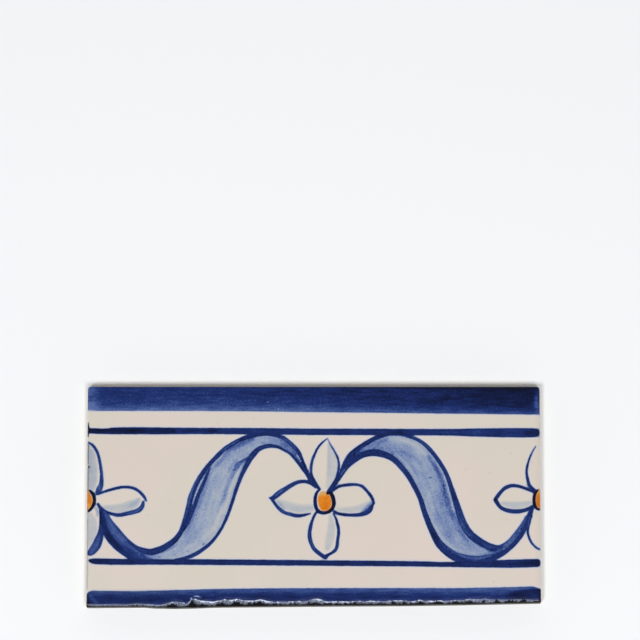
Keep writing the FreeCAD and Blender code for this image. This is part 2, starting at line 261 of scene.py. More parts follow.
        (75.2, 2.2, 0.6), (74.3, 1.2, 1.1), (73.95, -0.3, 1.1), (73.9, -1.8, 1.1), (74.3, -3.4, 1.1),
        (75, -4.2, 0.9), (75.9, -4.3, 0.7)]),
    "right_flower_dot": (1, [(73, -6.5, 0.5), (73.2, -6.8, 0.4)]),
}
# Pale washes inside the petals: load, softness of the edge, then points (x, y, width).
WASHES = [
    (0.15, 1.6, [(5.4, 17.2, 1), (6.1, 14, 3.2), (6.3, 10, 4), (6, 6, 3.8), (5.1, 3.4, 2.4)]),
    (0.23, 1.2, [(4.9, 17.6, 0.3), (5.2, 14, 0.6), (5.2, 10, 0.6), (4.9, 7, 0.3)]),
    (0.2, 2.6, [(-12.2, -1.6, 1), (-10, -2.7, 2.6), (-6, -4.1, 3.2), (-2, -4.1, 2.8), (-0.4, -3.7, 2)]),
    (0.38, 1.2, [(-12.2, -1.6, 0.4), (-11.2, -2.7, 0.7), (-9.8, -4, 0.5)]),
    (0.18, 2.2, [(8, -4.3, 1.4), (11, -4.6, 2), (15, -4.2, 2.4), (18, -2.9, 2.4), (19.2, -1.8, 1.2)]),
    (0.58, 1.4, [(16, -5.3, 0.5), (17.6, -4.1, 1.1), (18.7, -3, 1.2), (19.5, -2, 0.7)]),
    (0.16, 1.6, [(5.6, -6.2, 1.2), (5.9, -9, 2.2), (5.8, -12, 2.9), (5.2, -15, 2.9), (4.6, -17.4, 1.8)]),
    (0.21, 1.6, [(-75.2, 17, 1), (-74.6, 13, 3.4), (-74.4, 8, 4), (-74.6, 4, 3.6), (-75, 2.2, 2.2)]),
    (0.27, 1.8, [(-75, 15, 0.8), (-74.9, 11.5, 1.2), (-75.2, 8, 0.8)]),
    (0.2, 1.8, [(-70.8, -3.6, 1), (-68, -4, 2.2), (-64, -3.9, 3.2), (-60.4, -2.6, 3), (-58.8, -1.4, 1.6)]),
    (0.3, 1.8, [(-61.6, -3.2, 0.6), (-59.6, -2, 1.2), (-58.6, -0.9, 0.5)]),
    (0.17, 1.4, [(-75, -5.8, 1.4), (-74.3, -9, 3.6), (-74.2, -13, 3), (-75, -16, 2)]),
    (0.4, 0.8, [(-73.3, -3.6, 0.6), (-72.6, -4.8, 0.9), (-72.5, -6.5, 0.5)]),
    (0.2, 1.6, [(63.4, -2.3, 1.4), (66.5, -2.9, 2.4), (70, -2.8, 2.2), (72.6, -2.3, 1.4)]),
    (0.34, 0.8, [(71.2, 4.2, 0.4), (71.8, 2.9, 0.6)]),
    (0.3, 0.8, [(8, 4, 0.5), (8.6, 4.4, 0.4)]),
]
# Streaks that draw the wash of the ribbons towards a load: load, softness, then points (x, y, width).
STREAKS = [
    (0.72, 0.5, [(-41, -3.9, 0.3), (-41.7, -5.8, 0.7), (-42.5, -8, 0.9), (-43.6, -10.4, 0.6)]),
    (0.52, 1.3, [(-33.9, 10, 0.8), (-37.8, 0, 1.7), (-40.3, -6.5, 1.4), (-42, -9.6, 1)]),
    (0.2, 0.3, [(-35.6, 8.2, 0.12), (-37.9, 5, 0.3), (-38.9, 2.6, 0.4), (-39.7, 0.2, 0.5),
                (-40.7, -3.4, 0.25)]),
    (0.52, 1.6, [(-32.6, 10.4, 0.8), (-31, 12.4, 1.4), (-28.8, 14.1, 1.6)]),
    (0.69, 1.8, [(-30.4, 14.2, 0.9), (-25.9, 17.4, 2.1), (-20.6, 19.5, 1.2)]),
    (0.24, 0.3, [(-34.3, 9.9, 0.25), (-33.2, 11.4, 0.4), (-31.5, 13.1, 0.4), (-30.1, 14.7, 0.35),
                 (-27.6, 16.9, 0.1)]),
    (0.48, 1.1, [(-26.8, 8.8, 1), (-28.5, 5, 1.2), (-29.9, 0, 1.1), (-32, -5, 0.6)]),
    (0.64, 1.5, [(-22.9, 12, 1), (-25.4, 10.1, 1.7), (-27.4, 6.6, 0.9)]),
    (0.2, 0.6, [(-23.9, 11, 0.2), (-24.9, 9.2, 0.5), (-27, 4.5, 1), (-28.6, -0.4, 1.1), (-29.5, -3, 1),
                (-30.7, -6, 0.8)]),
    (0.58, 0.6, [(-58.6, -19.3, 0.8), (-56.4, -20.1, 0.8), (-54, -20.4, 0.7), (-51.5, -20.3, 0.5)]),
    (0.64, 1.4, [(38.4, 13.6, 0.4), (41.2, 9.4, 1.6), (43.4, 4, 1.7), (44.7, -1.2, 1.5), (46.5, -7, 0.8)]),
    (0.25, 0.35, [(38.8, 14.6, 0.2), (40.5, 12.6, 0.35), (41.9, 10.4, 0.45), (44.1, 5.9, 0.5),
                  (46.6, -3.4, 0.45), (47.5, -6.3, 0.3)]),
    (0.62, 0.8, [(47.2, -5.5, 0.4), (48.2, -8.5, 0.9), (49.2, -11, 0.9), (50.4, -13, 0.6)]),
    (0.52, 2, [(27, 16.2, 1.4), (30, 14.8, 2), (32.5, 13.4, 1.4)]),
    (0.24, 1.6, [(25.6, 19.4, 0.8), (30.4, 18.9, 1.6), (34.6, 16.8, 1.4), (37.6, 14, 0.8)]),
    (0.5, 0.5, [(31.2, 12.2, 0.3), (33.3, 9.4, 0.6), (35.2, 6.2, 0.4)]),
    (0.27, 0.4, [(27.4, 14.4, 0.2), (30.5, 11.6, 0.5), (33, 8.4, 0.5), (35.4, 4.2, 0.3)]),
    (0.47, 3.4, [(41, -5.5, 1.5), (43, -8, 2.2), (45.8, -10.5, 1.8)]),
    (0.28, 0.9, [(38.9, -6, 0.6), (40.2, -9.4, 1), (41.9, -12.6, 1.1), (44.2, -15.4, 0.9),
                 (46.8, -17.4, 0.7), (49.5, -18.5, 0.5)]),
    (0.38, 0.7, [(51, -18, 0.5), (54, -18.9, 0.8), (57, -18.7, 0.5)]),
    (0.6, 0.8, [(-50.5, -18.6, 0.5), (-48.3, -17.6, 0.9), (-46, -16.4, 0.6)]),
    (0.52, 1.2, [(-28.6, 8.4, 0.6), (-27.4, 10.3, 1.2), (-25.8, 12, 1)]),
    (0.14, 2.2, [(-30.9, -3.5, 0.2), (-32.8, -9.6, 0.7), (-37, -14.2, 0.3)]),
    (0.2, 1.6, [(-43.4, -17.6, 0.4), (-41.3, -16.6, 0.8), (-39.4, -15.2, 0.4)]),
    (0.42, 1.2, [(36.4, 8.4, 0.8), (37.5, 6, 1.4), (38.6, 3.2, 1)]),
    (0.8, 0.5, [(43.3, 4.2, 0.4), (43.9, 2, 0.7), (44.4, -0.4, 0.4)]),
    (0.66, 0.8, [(48.6, -11.4, 0.6), (49.9, -13.2, 1), (51.6, -15, 0.6)]),
    (0.8, 0.8, [(57.8, -18, 0.5), (59.4, -18.2, 1), (61.5, -17.8, 0.8)]),
]
# Places where the dark strokes are heavier or thinner: load, softness, then points (x, y, width).
ACCENTS = [
    (1.05, 0.6, [(-75, 22.1, 1.6), (-60, 22.15, 1.7), (-47, 22.1, 1.4)]),
    (0.88, 1.4, [(38, 21.6, 0.8), (50, 21.6, 0.8)]),
    (1.14, 0.8, [(-73, 22.3, 0.8), (-67.5, 22.3, 0.8)]),
    (1, 0.8, [(-44, 22.2, 1.2), (-33, 22.2, 1)]),
    (0.66, 1, [(-74.8, 30.3, 1.4), (-73.4, 30, 1.4)]),
    (0.7, 1, [(-74.7, 33.6, 1.4), (-74.3, 32.4, 1.4)]),
    (0.97, 1.6, [(-24, 34.9, 1.6), (10, 34.9, 2.4), (44, 34.7, 1.6)]),
    (1.06, 1.8, [(24.8, 21.6, 0.8), (29.5, 21.5, 0.8)]),
    (1, 1.6, [(71, 21.4, 1.4), (75, 21.4, 1.6)]),
    (1.03, 1.6, [(66, -22.6, 0.8), (75, -22.4, 1.6)]),
    (1.03, 1, [(-74.5, -21.7, 1.2), (-69, -21.9, 1)]),
    (1, 0.6, [(-70.6, -7.5, 0.8), (-69.8, -11, 1), (-67.5, -14.8, 1), (-64.4, -18, 0.8)]),
    (0.66, 0.6, [(-68.9, -8, 0.4), (-66.6, -11.4, 1), (-63.8, -14.8, 0.8)]),
    (0.74, 0.6, [(-67.4, -8.4, 0.4), (-65, -11.8, 0.6), (-62.6, -14.6, 0.5)]),
    (0.84, 1.2, [(-63, -17.4, 1.2), (-60, -19.2, 1.6), (-56.5, -20.6, 1.2)]),
    (0.78, 0.5, [(-42.5, -4.2, 0.5), (-43.2, -7, 0.7), (-44.3, -9.5, 0.5)]),
    (1, 0.5, [(-42.9, -10, 0.6), (-44.4, -12.9, 0.8), (-47.2, -16.2, 0.8)]),
    (0.7, 0.6, [(-42.2, -3.4, 0.5), (-41.6, -0.8, 0.7), (-40.7, 2.4, 0.7), (-39.3, 5.4, 0.5),
                (-37.6, 8.2, 0.3)]),
    (0.7, 0.6, [(45.3, -17, 0.5), (47.6, -18.9, 0.8), (50.6, -20.2, 1), (53.5, -20.7, 1.1),
                (56.5, -20.4, 1.1), (59.5, -19.4, 1), (62, -18.3, 0.8)]),
    (1, 0.6, [(41, -15.8, 0.7), (43.4, -18.8, 0.8), (46.6, -21.2, 0.8)]),
    (0.78, 0.6, [(49, -8, 0.5), (50.4, -10.8, 0.8), (52.6, -13.4, 0.8)]),
    (0.72, 0.8, [(63.5, -16.8, 0.6), (66.6, -13.8, 0.7), (69.4, -10.4, 0.7), (71, -7.6, 0.5)]),
    (0.76, 1.2, [(74.8, 33.5, 1), (74.9, 30.2, 1.4)]),
    (0.84, 0.3, [(-75.7, 35, 0.25), (-74.2, 35, 0.2)]),
    (0.8, 0.3, [(-75.7, 33.6, 0.25), (-74.4, 33.6, 0.2)]),
    (0.8, 0.3, [(-75.7, 32.3, 0.25), (-74.6, 32.3, 0.2)]),
    (0.78, 0.3, [(-75.7, 30.9, 0.25), (-74.7, 30.9, 0.2)]),
    (1.05, 0.4, [(-76, 37, 0.3), (-76, 29.4, 0.3)]),
    (1.08, 0.5, [(74.6, 36.6, 0.8), (75.9, 36.4, 0.8), (75.9, 28, 0.3)]),
    (0.98, 1, [(64.3, -33.8, 0.8), (66.2, -33.4, 2.2), (69.4, -33.2, 3.4), (73, -33.2, 4.2),
               (76, -33.2, 4.6)]),
    (0.66, 0.5, [(-71.7, 13.6, 0.3), (-71, 9.5, 0.5), (-70.7, 6, 0.5)]),
    (0.68, 0.7, [(-71.9, 4, 0.5), (-71.8, 2.6, 0.9)]),
    (0.72, 1.2, [(-71.7, -13.2, 0.6), (-72.3, -15.2, 1.6), (-73.2, -17, 1.8), (-74.4, -18.6, 1.2)]),
    (1.05, 0.5, [(-71.4, -5.4, 0.9), (-71.1, -9.2, 0.9)]),
    (0.72, 0.4, [(-62.5, -5.8, 0.4), (-59.5, -5, 0.6), (-58, -3.8, 0.5)]),
    (0.7, 0.6, [(-12.8, 0.4, 0.5), (-10.6, 2.2, 0.5)]),
    (0.74, 0.4, [(-11.4, -4.2, 0.4), (-8, -6, 0.5)]),
    (0.74, 0.5, [(17, -5, 0.5), (18.4, -4, 0.6)]),
    (0.76, 0.4, [(0.2, 15, 0.3), (-0.9, 10, 0.4), (-0.8, 7.4, 0.3)]),
    (0.76, 0.4, [(-0.9, -10, 0.3), (-1.4, -13.5, 0.5), (0.2, -17.4, 0.5)]),
    (0.76, 0.4, [(7.6, -17.4, 0.5), (6.4, -18.7, 0.4)]),
    (0.74, 0.4, [(72.4, -7, 0.5), (71.7, -10.5, 0.5)]),
    (1.2, 0.8, [(60.6, -1.2, 0.6), (61.1, -1.2, 0.6)]),
    (0.72, 0.6, [(8.7, 6.3, 0.3), (9.5, 7.9, 0.7), (10.3, 9, 0.5)]),
    (0.92, 0.8, [(11, 10.6, 0.6), (12.6, 12.9, 1.2)]),
    (0.76, 1, [(14, 14.2, 0.4), (15, 14.9, 1), (16.2, 15.6, 0.8)]),
    (0.6, 0.8, [(15.8, 15.9, 0.4), (17.6, 16.7, 0.9)]),
    (0.98, 0.8, [(16.5, 14, 0.6), (20.2, 14.7, 1.2), (24, 14, 0.8)]),
    (1, 0.6, [(38, -7.8, 0.6), (39.6, -11.8, 1), (41, -14.6, 0.8)]),
    (0.76, 0.7, [(-30.6, 15.4, 0.4), (-28.2, 17.2, 0.6), (-25.2, 19, 0.5)]),
    (0.76, 0.7, [(-10.2, 19.7, 0.4), (-7.6, 17.8, 0.6), (-5.8, 15.9, 0.4)]),
    (0.76, 0.7, [(35.8, 18.6, 0.4), (38.4, 16.6, 0.6), (40.6, 13.9, 0.4)]),
    (0.98, 0.6, [(45.6, 5, 0.5), (46.4, 2.4, 0.8), (47.4, -1, 0.6)]),
]
# Pigment lost in flakes and scratches: share lost, softness, then points (x, y, width).
FLAKES = [
    (0.75, 0.25, [(-40.1, -33.4, 0.3), (-39, -33.5, 0.42), (-38.2, -33.7, 0.3), (-37.5, -33.9, 0.12)]),
    (0.85, 0.3, [(-41, -34.2, 0.5), (-40.7, -34.6, 0.3)]),
    (0.28, 0.2, [(73.6, -33.5, 0.1), (74.7, -34.4, 0.12)]),
    (0.35, 0.3, [(57.3, -34.2, 0.4), (57.6, -34.5, 0.3)]),
    (0.24, 1.2, [(-74.6, -33.4, 0.6), (-73.8, -34.6, 1), (-72.6, -35.6, 0.8)]),
    (0.75, 0.25, [(-6, 14.2, 0.2), (-5.2, 13.3, 0.4), (-4.4, 12, 0.2)]),
    (0.4, 0.2, [(-15.5, 31.9, 0.25), (-15.3, 31.9, 0.25)]),
    (0.4, 0.2, [(-12.1, 29.4, 0.25), (-11.9, 29.4, 0.25)]),
]
# Dark specks in the wash of the ribbons: load, then place and width.
SPECKS = [
    (0.85, 39, 6.4, 0.5), (0.6, 40.9, 5, 0.4), (0.42, -36.2, -7.7, 0.5), (0.4, -34.2, -5.7, 0.6),
    (0.45, -36.9, -16.1, 0.9), (0.42, -33.9, -1.9, 0.4), (0.55, 23.6, 18.9, 0.5), (0.4, -30.8, 8, 0.4),
    (0.42, -37.6, -10.8, 0.7), (0.36, -40.2, -15.6, 0.4), (0.6, -24.4, 17.4, 0.4), (0.5, -42.1, -18.4, 0.4),
    (0.38, -29.6, -6.6, 0.4), (0.8, -26.4, 8.9, 0.5),
]
SPECK_SOFTNESS = 0.3
DOT_REACH = 0.1              # half the length of the short stroke that leaves a dot

# Grime and dark marks on the glaze, and painted shade over the half flowers' orange by the tile's ends and in
# the hollows of the break: share hidden, softness, then points (x, y, width).
GRIME_AND_SHADE = [
    (0.62, 0.4, [(-75.75, 18, 0.8), (-75.8, 14, 0.7), (-75.8, 11, 0.7)]),
    (0.95, 0.4, [(-75.5, 10.1, 0.7), (-75.5, 9.7, 0.7)]),
    (0.5, 0.4, [(-75.8, 9.2, 0.7), (-75.8, 5.5, 0.8), (-75.8, 1.8, 0.8)]),
    (0.8, 0.4, [(-75.6, 17.4, 0.5), (-75.6, 16.8, 0.5)]),
    (0.92, 0.4, [(-75.7, -32.6, 0.6), (-75.65, -34.6, 0.8), (-75.65, -36.9, 0.9)]),
    (0.9, 0.4, [(75.6, -31.3, 0.6), (75.6, -35.3, 0.8)]),
    # Darker towards the left and the right end.
    (0.08, 2.4, [(-74.8, 14.5, 2), (-74.6, 9, 3), (-74.8, 4, 2.6)]),
    (0.045, 2.4, [(75.4, 27, 1.6), (75.4, -29, 1.6)]),
    (0.23, 2.4, [(-74, -33.6, 3.6), (-46, -33.2, 3.2)]),
    (0.07, 2.4, [(-42, -33.4, 3.4), (30, -33, 3.4)]),
    # Painted shade: the left half flower's orange darker by the tile's end.
    (0.2, 1, [(-75.4, 1.4, 1.4), (-75.3, 0.6, 1.4)]),
    (0.12, 1, [(-75.4, 0.4, 1.6), (-75.2, -1.8, 1.8)]),
    (0.12, 0.8, [(-75, -21.8, 1.6), (-30, -22.1, 1.6), (40, -22.7, 1.4), (75, -22.4, 1.8)]),
    # Painted shade: the right half flower's orange darker by the tile's end.
    (0.18, 1, [(75.6, 1.2, 1.2), (75.2, -2.2, 1.8)]),
    (0.8, 0.4, [(-75.8, 24.7, 0.6), (-75.75, 22.5, 0.9), (-75.8, 20.3, 0.6)]),
    (0.38, 0.4, [(-75.9, -4, 0.6), (-75.85, -20, 0.7), (-75.9, -31, 0.6)]),
    (0.45, 0.6, [(75.7, 22.7, 0.9), (75.8, 21.4, 0.5), (75.7, 20.2, 0.9)]),
    (0.24, 1, [(64.3, -33.8, 0.8), (66.2, -33.4, 2.2), (69.4, -33.2, 3.4), (73, -33.2, 4),
               (76, -33.2, 4.2)]),
    (0.32, 0.8, [(75.4, -2.9, 0.9), (74.9, -3.5, 0.7)]),
    (0.07, 1, [(2.6, 1, 1), (3.6, 0.9, 1)]),
    (0.2, 0.4, [(66, 14.9, 0.3), (66, 14.4, 0.3)]),
    # Painted shade: black in the hollows of the break.
    (0.9, 0.4, [(-48.6, -36.8, 0.3), (-47.8, -36.9, 0.8), (-46.6, -37, 0.5)]),
    (0.75, 0.5, [(-41.3, -36.6, 0.6), (-40.5, -36.2, 1.2), (-39.2, -36.7, 0.8)]),
    (0.92, 0.4, [(-32.4, -36.6, 0.4), (-30.8, -36.2, 1), (-29, -36.5, 0.5)]),
    (0.94, 0.4, [(-27.4, -36.6, 0.5), (-26, -36, 1.4), (-24.7, -36.5, 0.6)]),
    (0.92, 0.4, [(-21.2, -36.5, 0.3), (-19, -36.1, 0.9), (-17.4, -36.1, 1), (-15.6, -36.5, 0.4)]),
    (0.85, 0.3, [(-4.6, -36.4, 0.3), (-2.6, -36.4, 0.3)]),
    (0.92, 0.4, [(-1.2, -36.3, 0.3), (0.6, -35.9, 0.9), (2.7, -36.2, 0.4)]),
    (0.92, 0.4, [(34.7, -36, 0.3), (35.6, -35.7, 0.9), (36.8, -36, 0.4)]),
    (0.85, 0.3, [(40, -36, 0.3), (42, -36, 0.3)]),
    (0.9, 0.3, [(47.4, -35.8, 0.3), (48.4, -35.7, 0.6), (49.3, -35.9, 0.3)]),
    (0.92, 0.4, [(51.2, -35.7, 0.3), (52.2, -35.5, 0.8), (53.2, -35.7, 0.4)]),
    (0.85, 0.3, [(60.6, -35.7, 0.3), (63.6, -35.7, 0.4)]),
    (0.85, 0.3, [(66.8, -35.6, 0.3), (69, -35.6, 0.4)]),
]
# Specks of grime: share hidden, then place and width.
GRIME_DOTS = [
    (0.18, 59.15, 7.9, 0.4), (0.18, 51.1, 9.15, 0.4), (0.22, 60.2, -28.7, 0.4), (0.3, -37.9, 10.75, 0.3),
    (0.16, -36.4, 10.95, 0.3), (0.12, -32.3, 24.7, 0.4), (0.12, -20.2, 26.4, 0.4), (0.12, -2.4, -29.7, 0.4),
    (0.06, -48.25, -2.2, 0.6), (0.14, 1.3, 5.2, 0.4), (0.16, 73.3, 11.4, 0.4), (0.14, 64.5, -7.6, 0.4),
    (0.12, -55.3, -6.2, 0.4),
]
GRIME_SOFTNESS = 0.4

# The orange middles of the flowers: points (x, y, width).
ORANGE = [
    [(3, 0.9, 2), (3.5, -0.6, 4.4), (3.7, -2, 4.8), (3.8, -3.2, 4), (3.8, -4.2, 1.8)],
    [(-76.2, 1.2, 2.2), (-76, -1, 3.7), (-75.9, -2.4, 3.6), (-76, -4, 1.6)],
    [(76.2, 1.6, 2.2), (76.1, -0.4, 4), (76.1, -2, 4), (76.1, -3.4, 2.2)],
]
# Where the orange is thin or heavy: tone, softness, then points (x, y, width).
ORANGE_TONES = [
    (0.06, 1.6, [(2.6, 0.9, 1.2), (3.6, 0.9, 1.2)]),
    (0.84, 1.2, [(2.8, -0.9, 0.8), (2.6, -2.6, 0.6)]),
    (0.9, 0.8, [(4.9, -1, 0.6), (4.9, -1.6, 0.6)]),
    (1.14, 1.2, [(4.6, -2.6, 0.8), (4, -3.8, 0.6)]),
    (0.92, 1, [(-75.2, 0.4, 1.2), (-75, -1.2, 1.6)]),
    (0.45, 1, [(-75.4, 1.4, 1), (-75, 1.2, 1)]),
    (0.4, 1.2, [(-75.4, -2.8, 1), (-75.2, -4, 0.8)]),
    (1, 1, [(75.4, 0.2, 1.2), (75.3, -1.4, 1.6), (75.4, -3.2, 1.2)]),
    (0.4, 1, [(75.2, 1.2, 1), (75.8, 1.4, 1)]),
]
ORANGE_TONE = 1.02           # tone of the orange elsewhere

# Edges of the two bands, as points (x, y), and the edge's place amid each.
TOP_BAND = [
    (-78, 28.8), (-60, 28.8), (-40, 28.8), (-20, 28.65), (0, 28.4), (20, 28.2), (40, 27.95), (60, 27.75),
    (78, 27.5),
]
BOTTOM_BAND = [
    (-76.4, -34), (-75.9, -32.7), (-75.2, -31.9), (-74, -31.6), (-60, -31.75), (-50, -31.5), (-40, -31.2),
    (-30, -30.95), (-10, -30.75), (20, -30.7), (50, -30.7), (65, -30.4), (73.4, -30.15), (75, -30.7),
    (76.4, -31.3),
]
TOP_BAND_MIDDLE, BOTTOM_BAND_MIDDLE = 28.4, -30.7
# Load of pigment along each band, and what is added from its upper edge (0) to its lower edge (1).
TOP_BAND_ALONG = [
    (-76, 0.6), (-74.8, 0.69), (-73.4, 0.79), (-72, 0.88), (-70, 0.92), (-50, 0.88), (0, 0.91), (30, 0.98),
    (60, 1.04), (73.5, 1.06), (76, 0.88),
]
TOP_BAND_ACROSS = [
    (0, 0.12), (0.08, 0.05), (0.15, 0.01), (0.5, 0), (0.7, -0.05), (0.86, -0.16), (1, -0.3),
]
BOTTOM_BAND_ALONG = [
    (-76, 0.96), (-72, 0.91), (-50, 0.91), (-20, 0.92), (0, 0.9), (50, 0.87), (63, 0.86), (76, 0.9),
]
BOTTOM_BAND_ACROSS = [
    (0, -0.2), (0.08, -0.16), (0.17, -0.12), (0.28, -0.02), (0.42, 0.05), (1, 0.07),
]
# Load of the wash along each ribbon, as (how far along, load by its outer side, amid, by its inner side).
LEFT_RIBBON_WASH = [
    (0, 0.75, 0.75, 0.75), (0.06, 0.44, 0.42, 0.46), (0.11, 0.36, 0.31, 0.34), (0.18, 0.41, 0.35, 0.24),
    (0.25, 0.5, 0.36, 0.21), (0.33, 0.52, 0.31, 0.24), (0.42, 0.46, 0.3, 0.26), (0.5, 0.42, 0.31, 0.29),
    (0.57, 0.44, 0.31, 0.31), (0.65, 0.46, 0.38, 0.42), (0.72, 0.38, 0.34, 0.38), (0.78, 0.44, 0.42, 0.46),
    (0.83, 0.6, 0.6, 0.62), (0.88, 0.66, 0.66, 0.68), (0.94, 0.66, 0.66, 0.72), (1, 0.85, 0.85, 0.85),
]
RIGHT_RIBBON_WASH = [
    (0, 0.9, 0.9, 0.9), (0.05, 0.72, 0.7, 0.72), (0.09, 0.8, 0.8, 0.8), (0.14, 0.7, 0.6, 0.58),
    (0.2, 0.54, 0.48, 0.52), (0.25, 0.4, 0.46, 0.54), (0.3, 0.3, 0.46, 0.41), (0.35, 0.29, 0.36, 0.36),
    (0.4, 0.38, 0.34, 0.35), (0.47, 0.54, 0.42, 0.31), (0.53, 0.55, 0.48, 0.28), (0.6, 0.52, 0.46, 0.33),
    (0.68, 0.46, 0.4, 0.38), (0.74, 0.46, 0.42, 0.44), (0.8, 0.5, 0.5, 0.55), (0.87, 0.68, 0.72, 0.74),
    (1, 0.8, 0.8, 0.8),
]
# The left ribbon's fill starts at this point of its outer stroke, and along these points at its foot.
LEFT_RIBBON_START = 3
LEFT_RIBBON_FOOT = [(-59.6, -19.4), (-57.0, -20.5), (-54.5, -21.0), (-51.0, -21.2)]

# How grainy the pigment is: on the plain glaze and the lower band, on the upper band, and in the ribbons.
GLAZE_GRAIN, TOP_BAND_GRAIN, RIBBON_GRAIN = 0.4, 0.55, 1.0

# What the painting keeps at each place of the mesh, for the glaze's nodes to read.
STORED = ("line_edge", "line_load", "flow", "wash_load", "wash_flow", "orange_edge", "orange_tone", "flaked",
          "grime_and_shade", "grain")

# Colours, as red, green and blue of a picture, 0 to 255; in rows they follow a load, tone or position.
PIGMENT = [
    (0, 216, 206, 195), (0.16, 187, 188, 190), (0.3, 157, 168, 188), (0.45, 125, 142, 180),
    (0.6, 86, 107, 160), (0.75, 55, 76, 134), (0.87, 33, 52, 110), (0.94, 27, 43, 98), (1.03, 20, 31, 70),
    (1.14, 16, 20, 46), (1.28, 22, 22, 30),
]
HEAVIEST = PIGMENT[-1][0]
ORANGE_COLOURS = [
    (0, 216, 180, 118), (0.35, 219, 150, 60), (0.66, 219, 131, 38), (0.8, 211, 114, 26), (1, 182, 104, 32),
]
HEAVIEST_ORANGE = 1.4
GREENISH, PINKISH = (213, 206, 193), (219, 206, 197)  # the cream glaze varies between these
HALO = (205, 202, 211)       # the glaze close by a dark line
# The snapped rim's own grey, and the painted highlight laid on it
DULL_RIM, PAINTED_HIGHLIGHT_RIM = (114, 122, 150), (218, 227, 250)
# Tones across the break, from the rim down; the darkest, about 0.28 to 0.34, are painted shade at the foot of
# the scoops and the top of the sawn wall.
FRACTURE_TONES = [
    (0.0, *DULL_RIM), (0.12, 126, 135, 156), (0.20, 104, 109, 122), (0.28, 64, 65, 71), (0.34, 36, 36, 43),
    (0.44, 62, 60, 63), (0.55, 84, 82, 83), (1.0, 118, 112, 104),
]
FRACTURE_REACH = 6.0         # how far across the break those tones run
PAINTED_HIGHLIGHT_STRETCH = (60.0, 42.0)  # X, either way, where the rim's painted highlight starts and is full
# Darker grey speckled into the scoops, and the black of the painted shade in their hollows
SCOOP_SHADE, HOLLOW_SHADE = (52, 53, 62), (7, 7, 12)
# Black of grime and of painted shade, and the grime of the saw
GRIME_AND_SHADE_BLACK, SAW_GRIME = (13, 12, 16), (36, 36, 39)
CLAY_TONES = [(0.0, 176, 158, 136), (0.5, 199, 183, 162), (1.0, 214, 201, 183)]
CLAY_SPECK = (120, 96, 72)

# How each surface takes the light: share mirrored, roughness, and depth of its bumps in metres.
GLAZE_SHINE, BODY_SHINE = 0.5, 0.1
GLAZE_ROUGHNESS, BODY_ROUGHNESS = 0.07, 0.85
GLAZE_RIPPLE, SAW_MARKS, CLAY_GRAIN = 0.00001, 0.00012, 0.00008


def rgba(red, green, blue):
    """A picture's colour, 0 to 255, as the light that a shader works in."""
    parts = [part / 255 for part in (red, green, blue)]
    return (*(p / 12.92 if p <= 0.04045 else ((p + 0.055) / 1.055) ** 2.4 for p in parts), 1)


def picture_stops(table):
    """The stops of a colour ramp from rows of position, red, green and blue."""
    return [(position, rgba(*colour)) for position, *colour in table]


def along_table(value, table):
    """Looks a value up in rows of (value, result)."""
    return np.interp(value, *np.array(table).T)


def smooth_step(value, low, high):
    share = np.clip((value - low) / (high - low), 0, 1)
    return share * share * (3 - 2 * share)


# The outline of the tile, and the shape of its edges

def saw_edge(x):
    """The sawn edge's Y at each X."""
    straight = NEAR_EDGE + SAW_SKEW * (x + HALF_LENGTH) / (2 * HALF_LENGTH)
    return straight + along_table(x, SAW_WANDER)


def graded(low, high, step, low_steps, high_steps):
    """Coordinates from low to high, with given steps in from each end and an even step between."""
    start = low + low_steps[-1]
    stop = high - high_steps[-1]
    middle = np.linspace(start, stop, round((stop - start) / step) + 1)
    return np.concatenate([low + np.array(low_steps[:-1]), middle, high - np.array(high_steps[:-1])[::-1]])


def box_surface():
    """The face's grid and the rings of the walls, as a square box.

    Returns the places, the face's quads, the walls' quads, the rim of the face, the number of places on
    the face, and the number of quads along the sawn wall, which come first round the rim.
    """
    x_steps = graded(-HALF_LENGTH, HALF_LENGTH, GRID, EDGE_STEPS, EDGE_STEPS)
    saw_steps = tuple(np.arange(0, SAW_GRID_REACH, SAW_GRID))
    y_steps = graded(0, FAR_EDGE - NEAR_EDGE, GRID, saw_steps, EDGE_STEPS) / (FAR_EDGE - NEAR_EDGE)
    x, across = np.meshgrid(x_steps, y_steps, indexing="ij")
    y = saw_edge(x) + across * (FAR_EDGE - saw_edge(x))
    columns, rows = x.shape
    number = np.arange(columns * rows).reshape(columns, rows)
    face = np.stack([x.ravel(), y.ravel(), np.full(x.size, THICKNESS)], axis=1)
    corners = [number[:-1, :-1], number[1:, :-1], number[1:, 1:], number[:-1, 1:]]
    quads = np.stack(corners, axis=-1).reshape(-1, 4)
    rim = np.concatenate([number[:-1, 0], number[-1, :-1], number[:0:-1, -1], number[0, :0:-1]])
    places, walls, ring = [face], [], rim
    count = len(face)
    for depth in WALL_DEPTHS[1:]:
        places.append(np.column_stack([face[rim, :2], np.full(len(rim), THICKNESS - depth)]))
        lower = np.arange(count, count + len(rim))
        count += len(rim)
        walls.append(np.stack([ring, lower, np.roll(lower, -1), np.roll(ring, -1)], axis=1))
        ring = lower
    return np.concatenate(places), quads, np.concatenate(walls), rim, len(face), columns - 1


def round_corners(places):
    """Rounds the pressed corners in plan; returns each place's inset from the pressed sides and way out."""
    x, y = places[:, 0], places[:, 1]
    out_x = np.maximum(np.abs(x) - (HALF_LENGTH - CORNER_RADIUS), 0)
    out_y = np.maximum(y - (FAR_EDGE - CORNER_RADIUS), 0)
    longest = np.maximum(out_x, out_y)
    length = np.maximum(np.hypot(out_x, out_y), TINY)
    share = np.where((out_x > 0) & (out_y > 0), longest / length, 1)
    side = np.sign(x)
    places[:, 0] -= side * out_x * (1 - share)
    places[:, 1] -= out_y * (1 - share)
    way_out = np.column_stack([side * out_x, out_y]) / length[:, None]
    return CORNER_RADIUS - longest, way_out


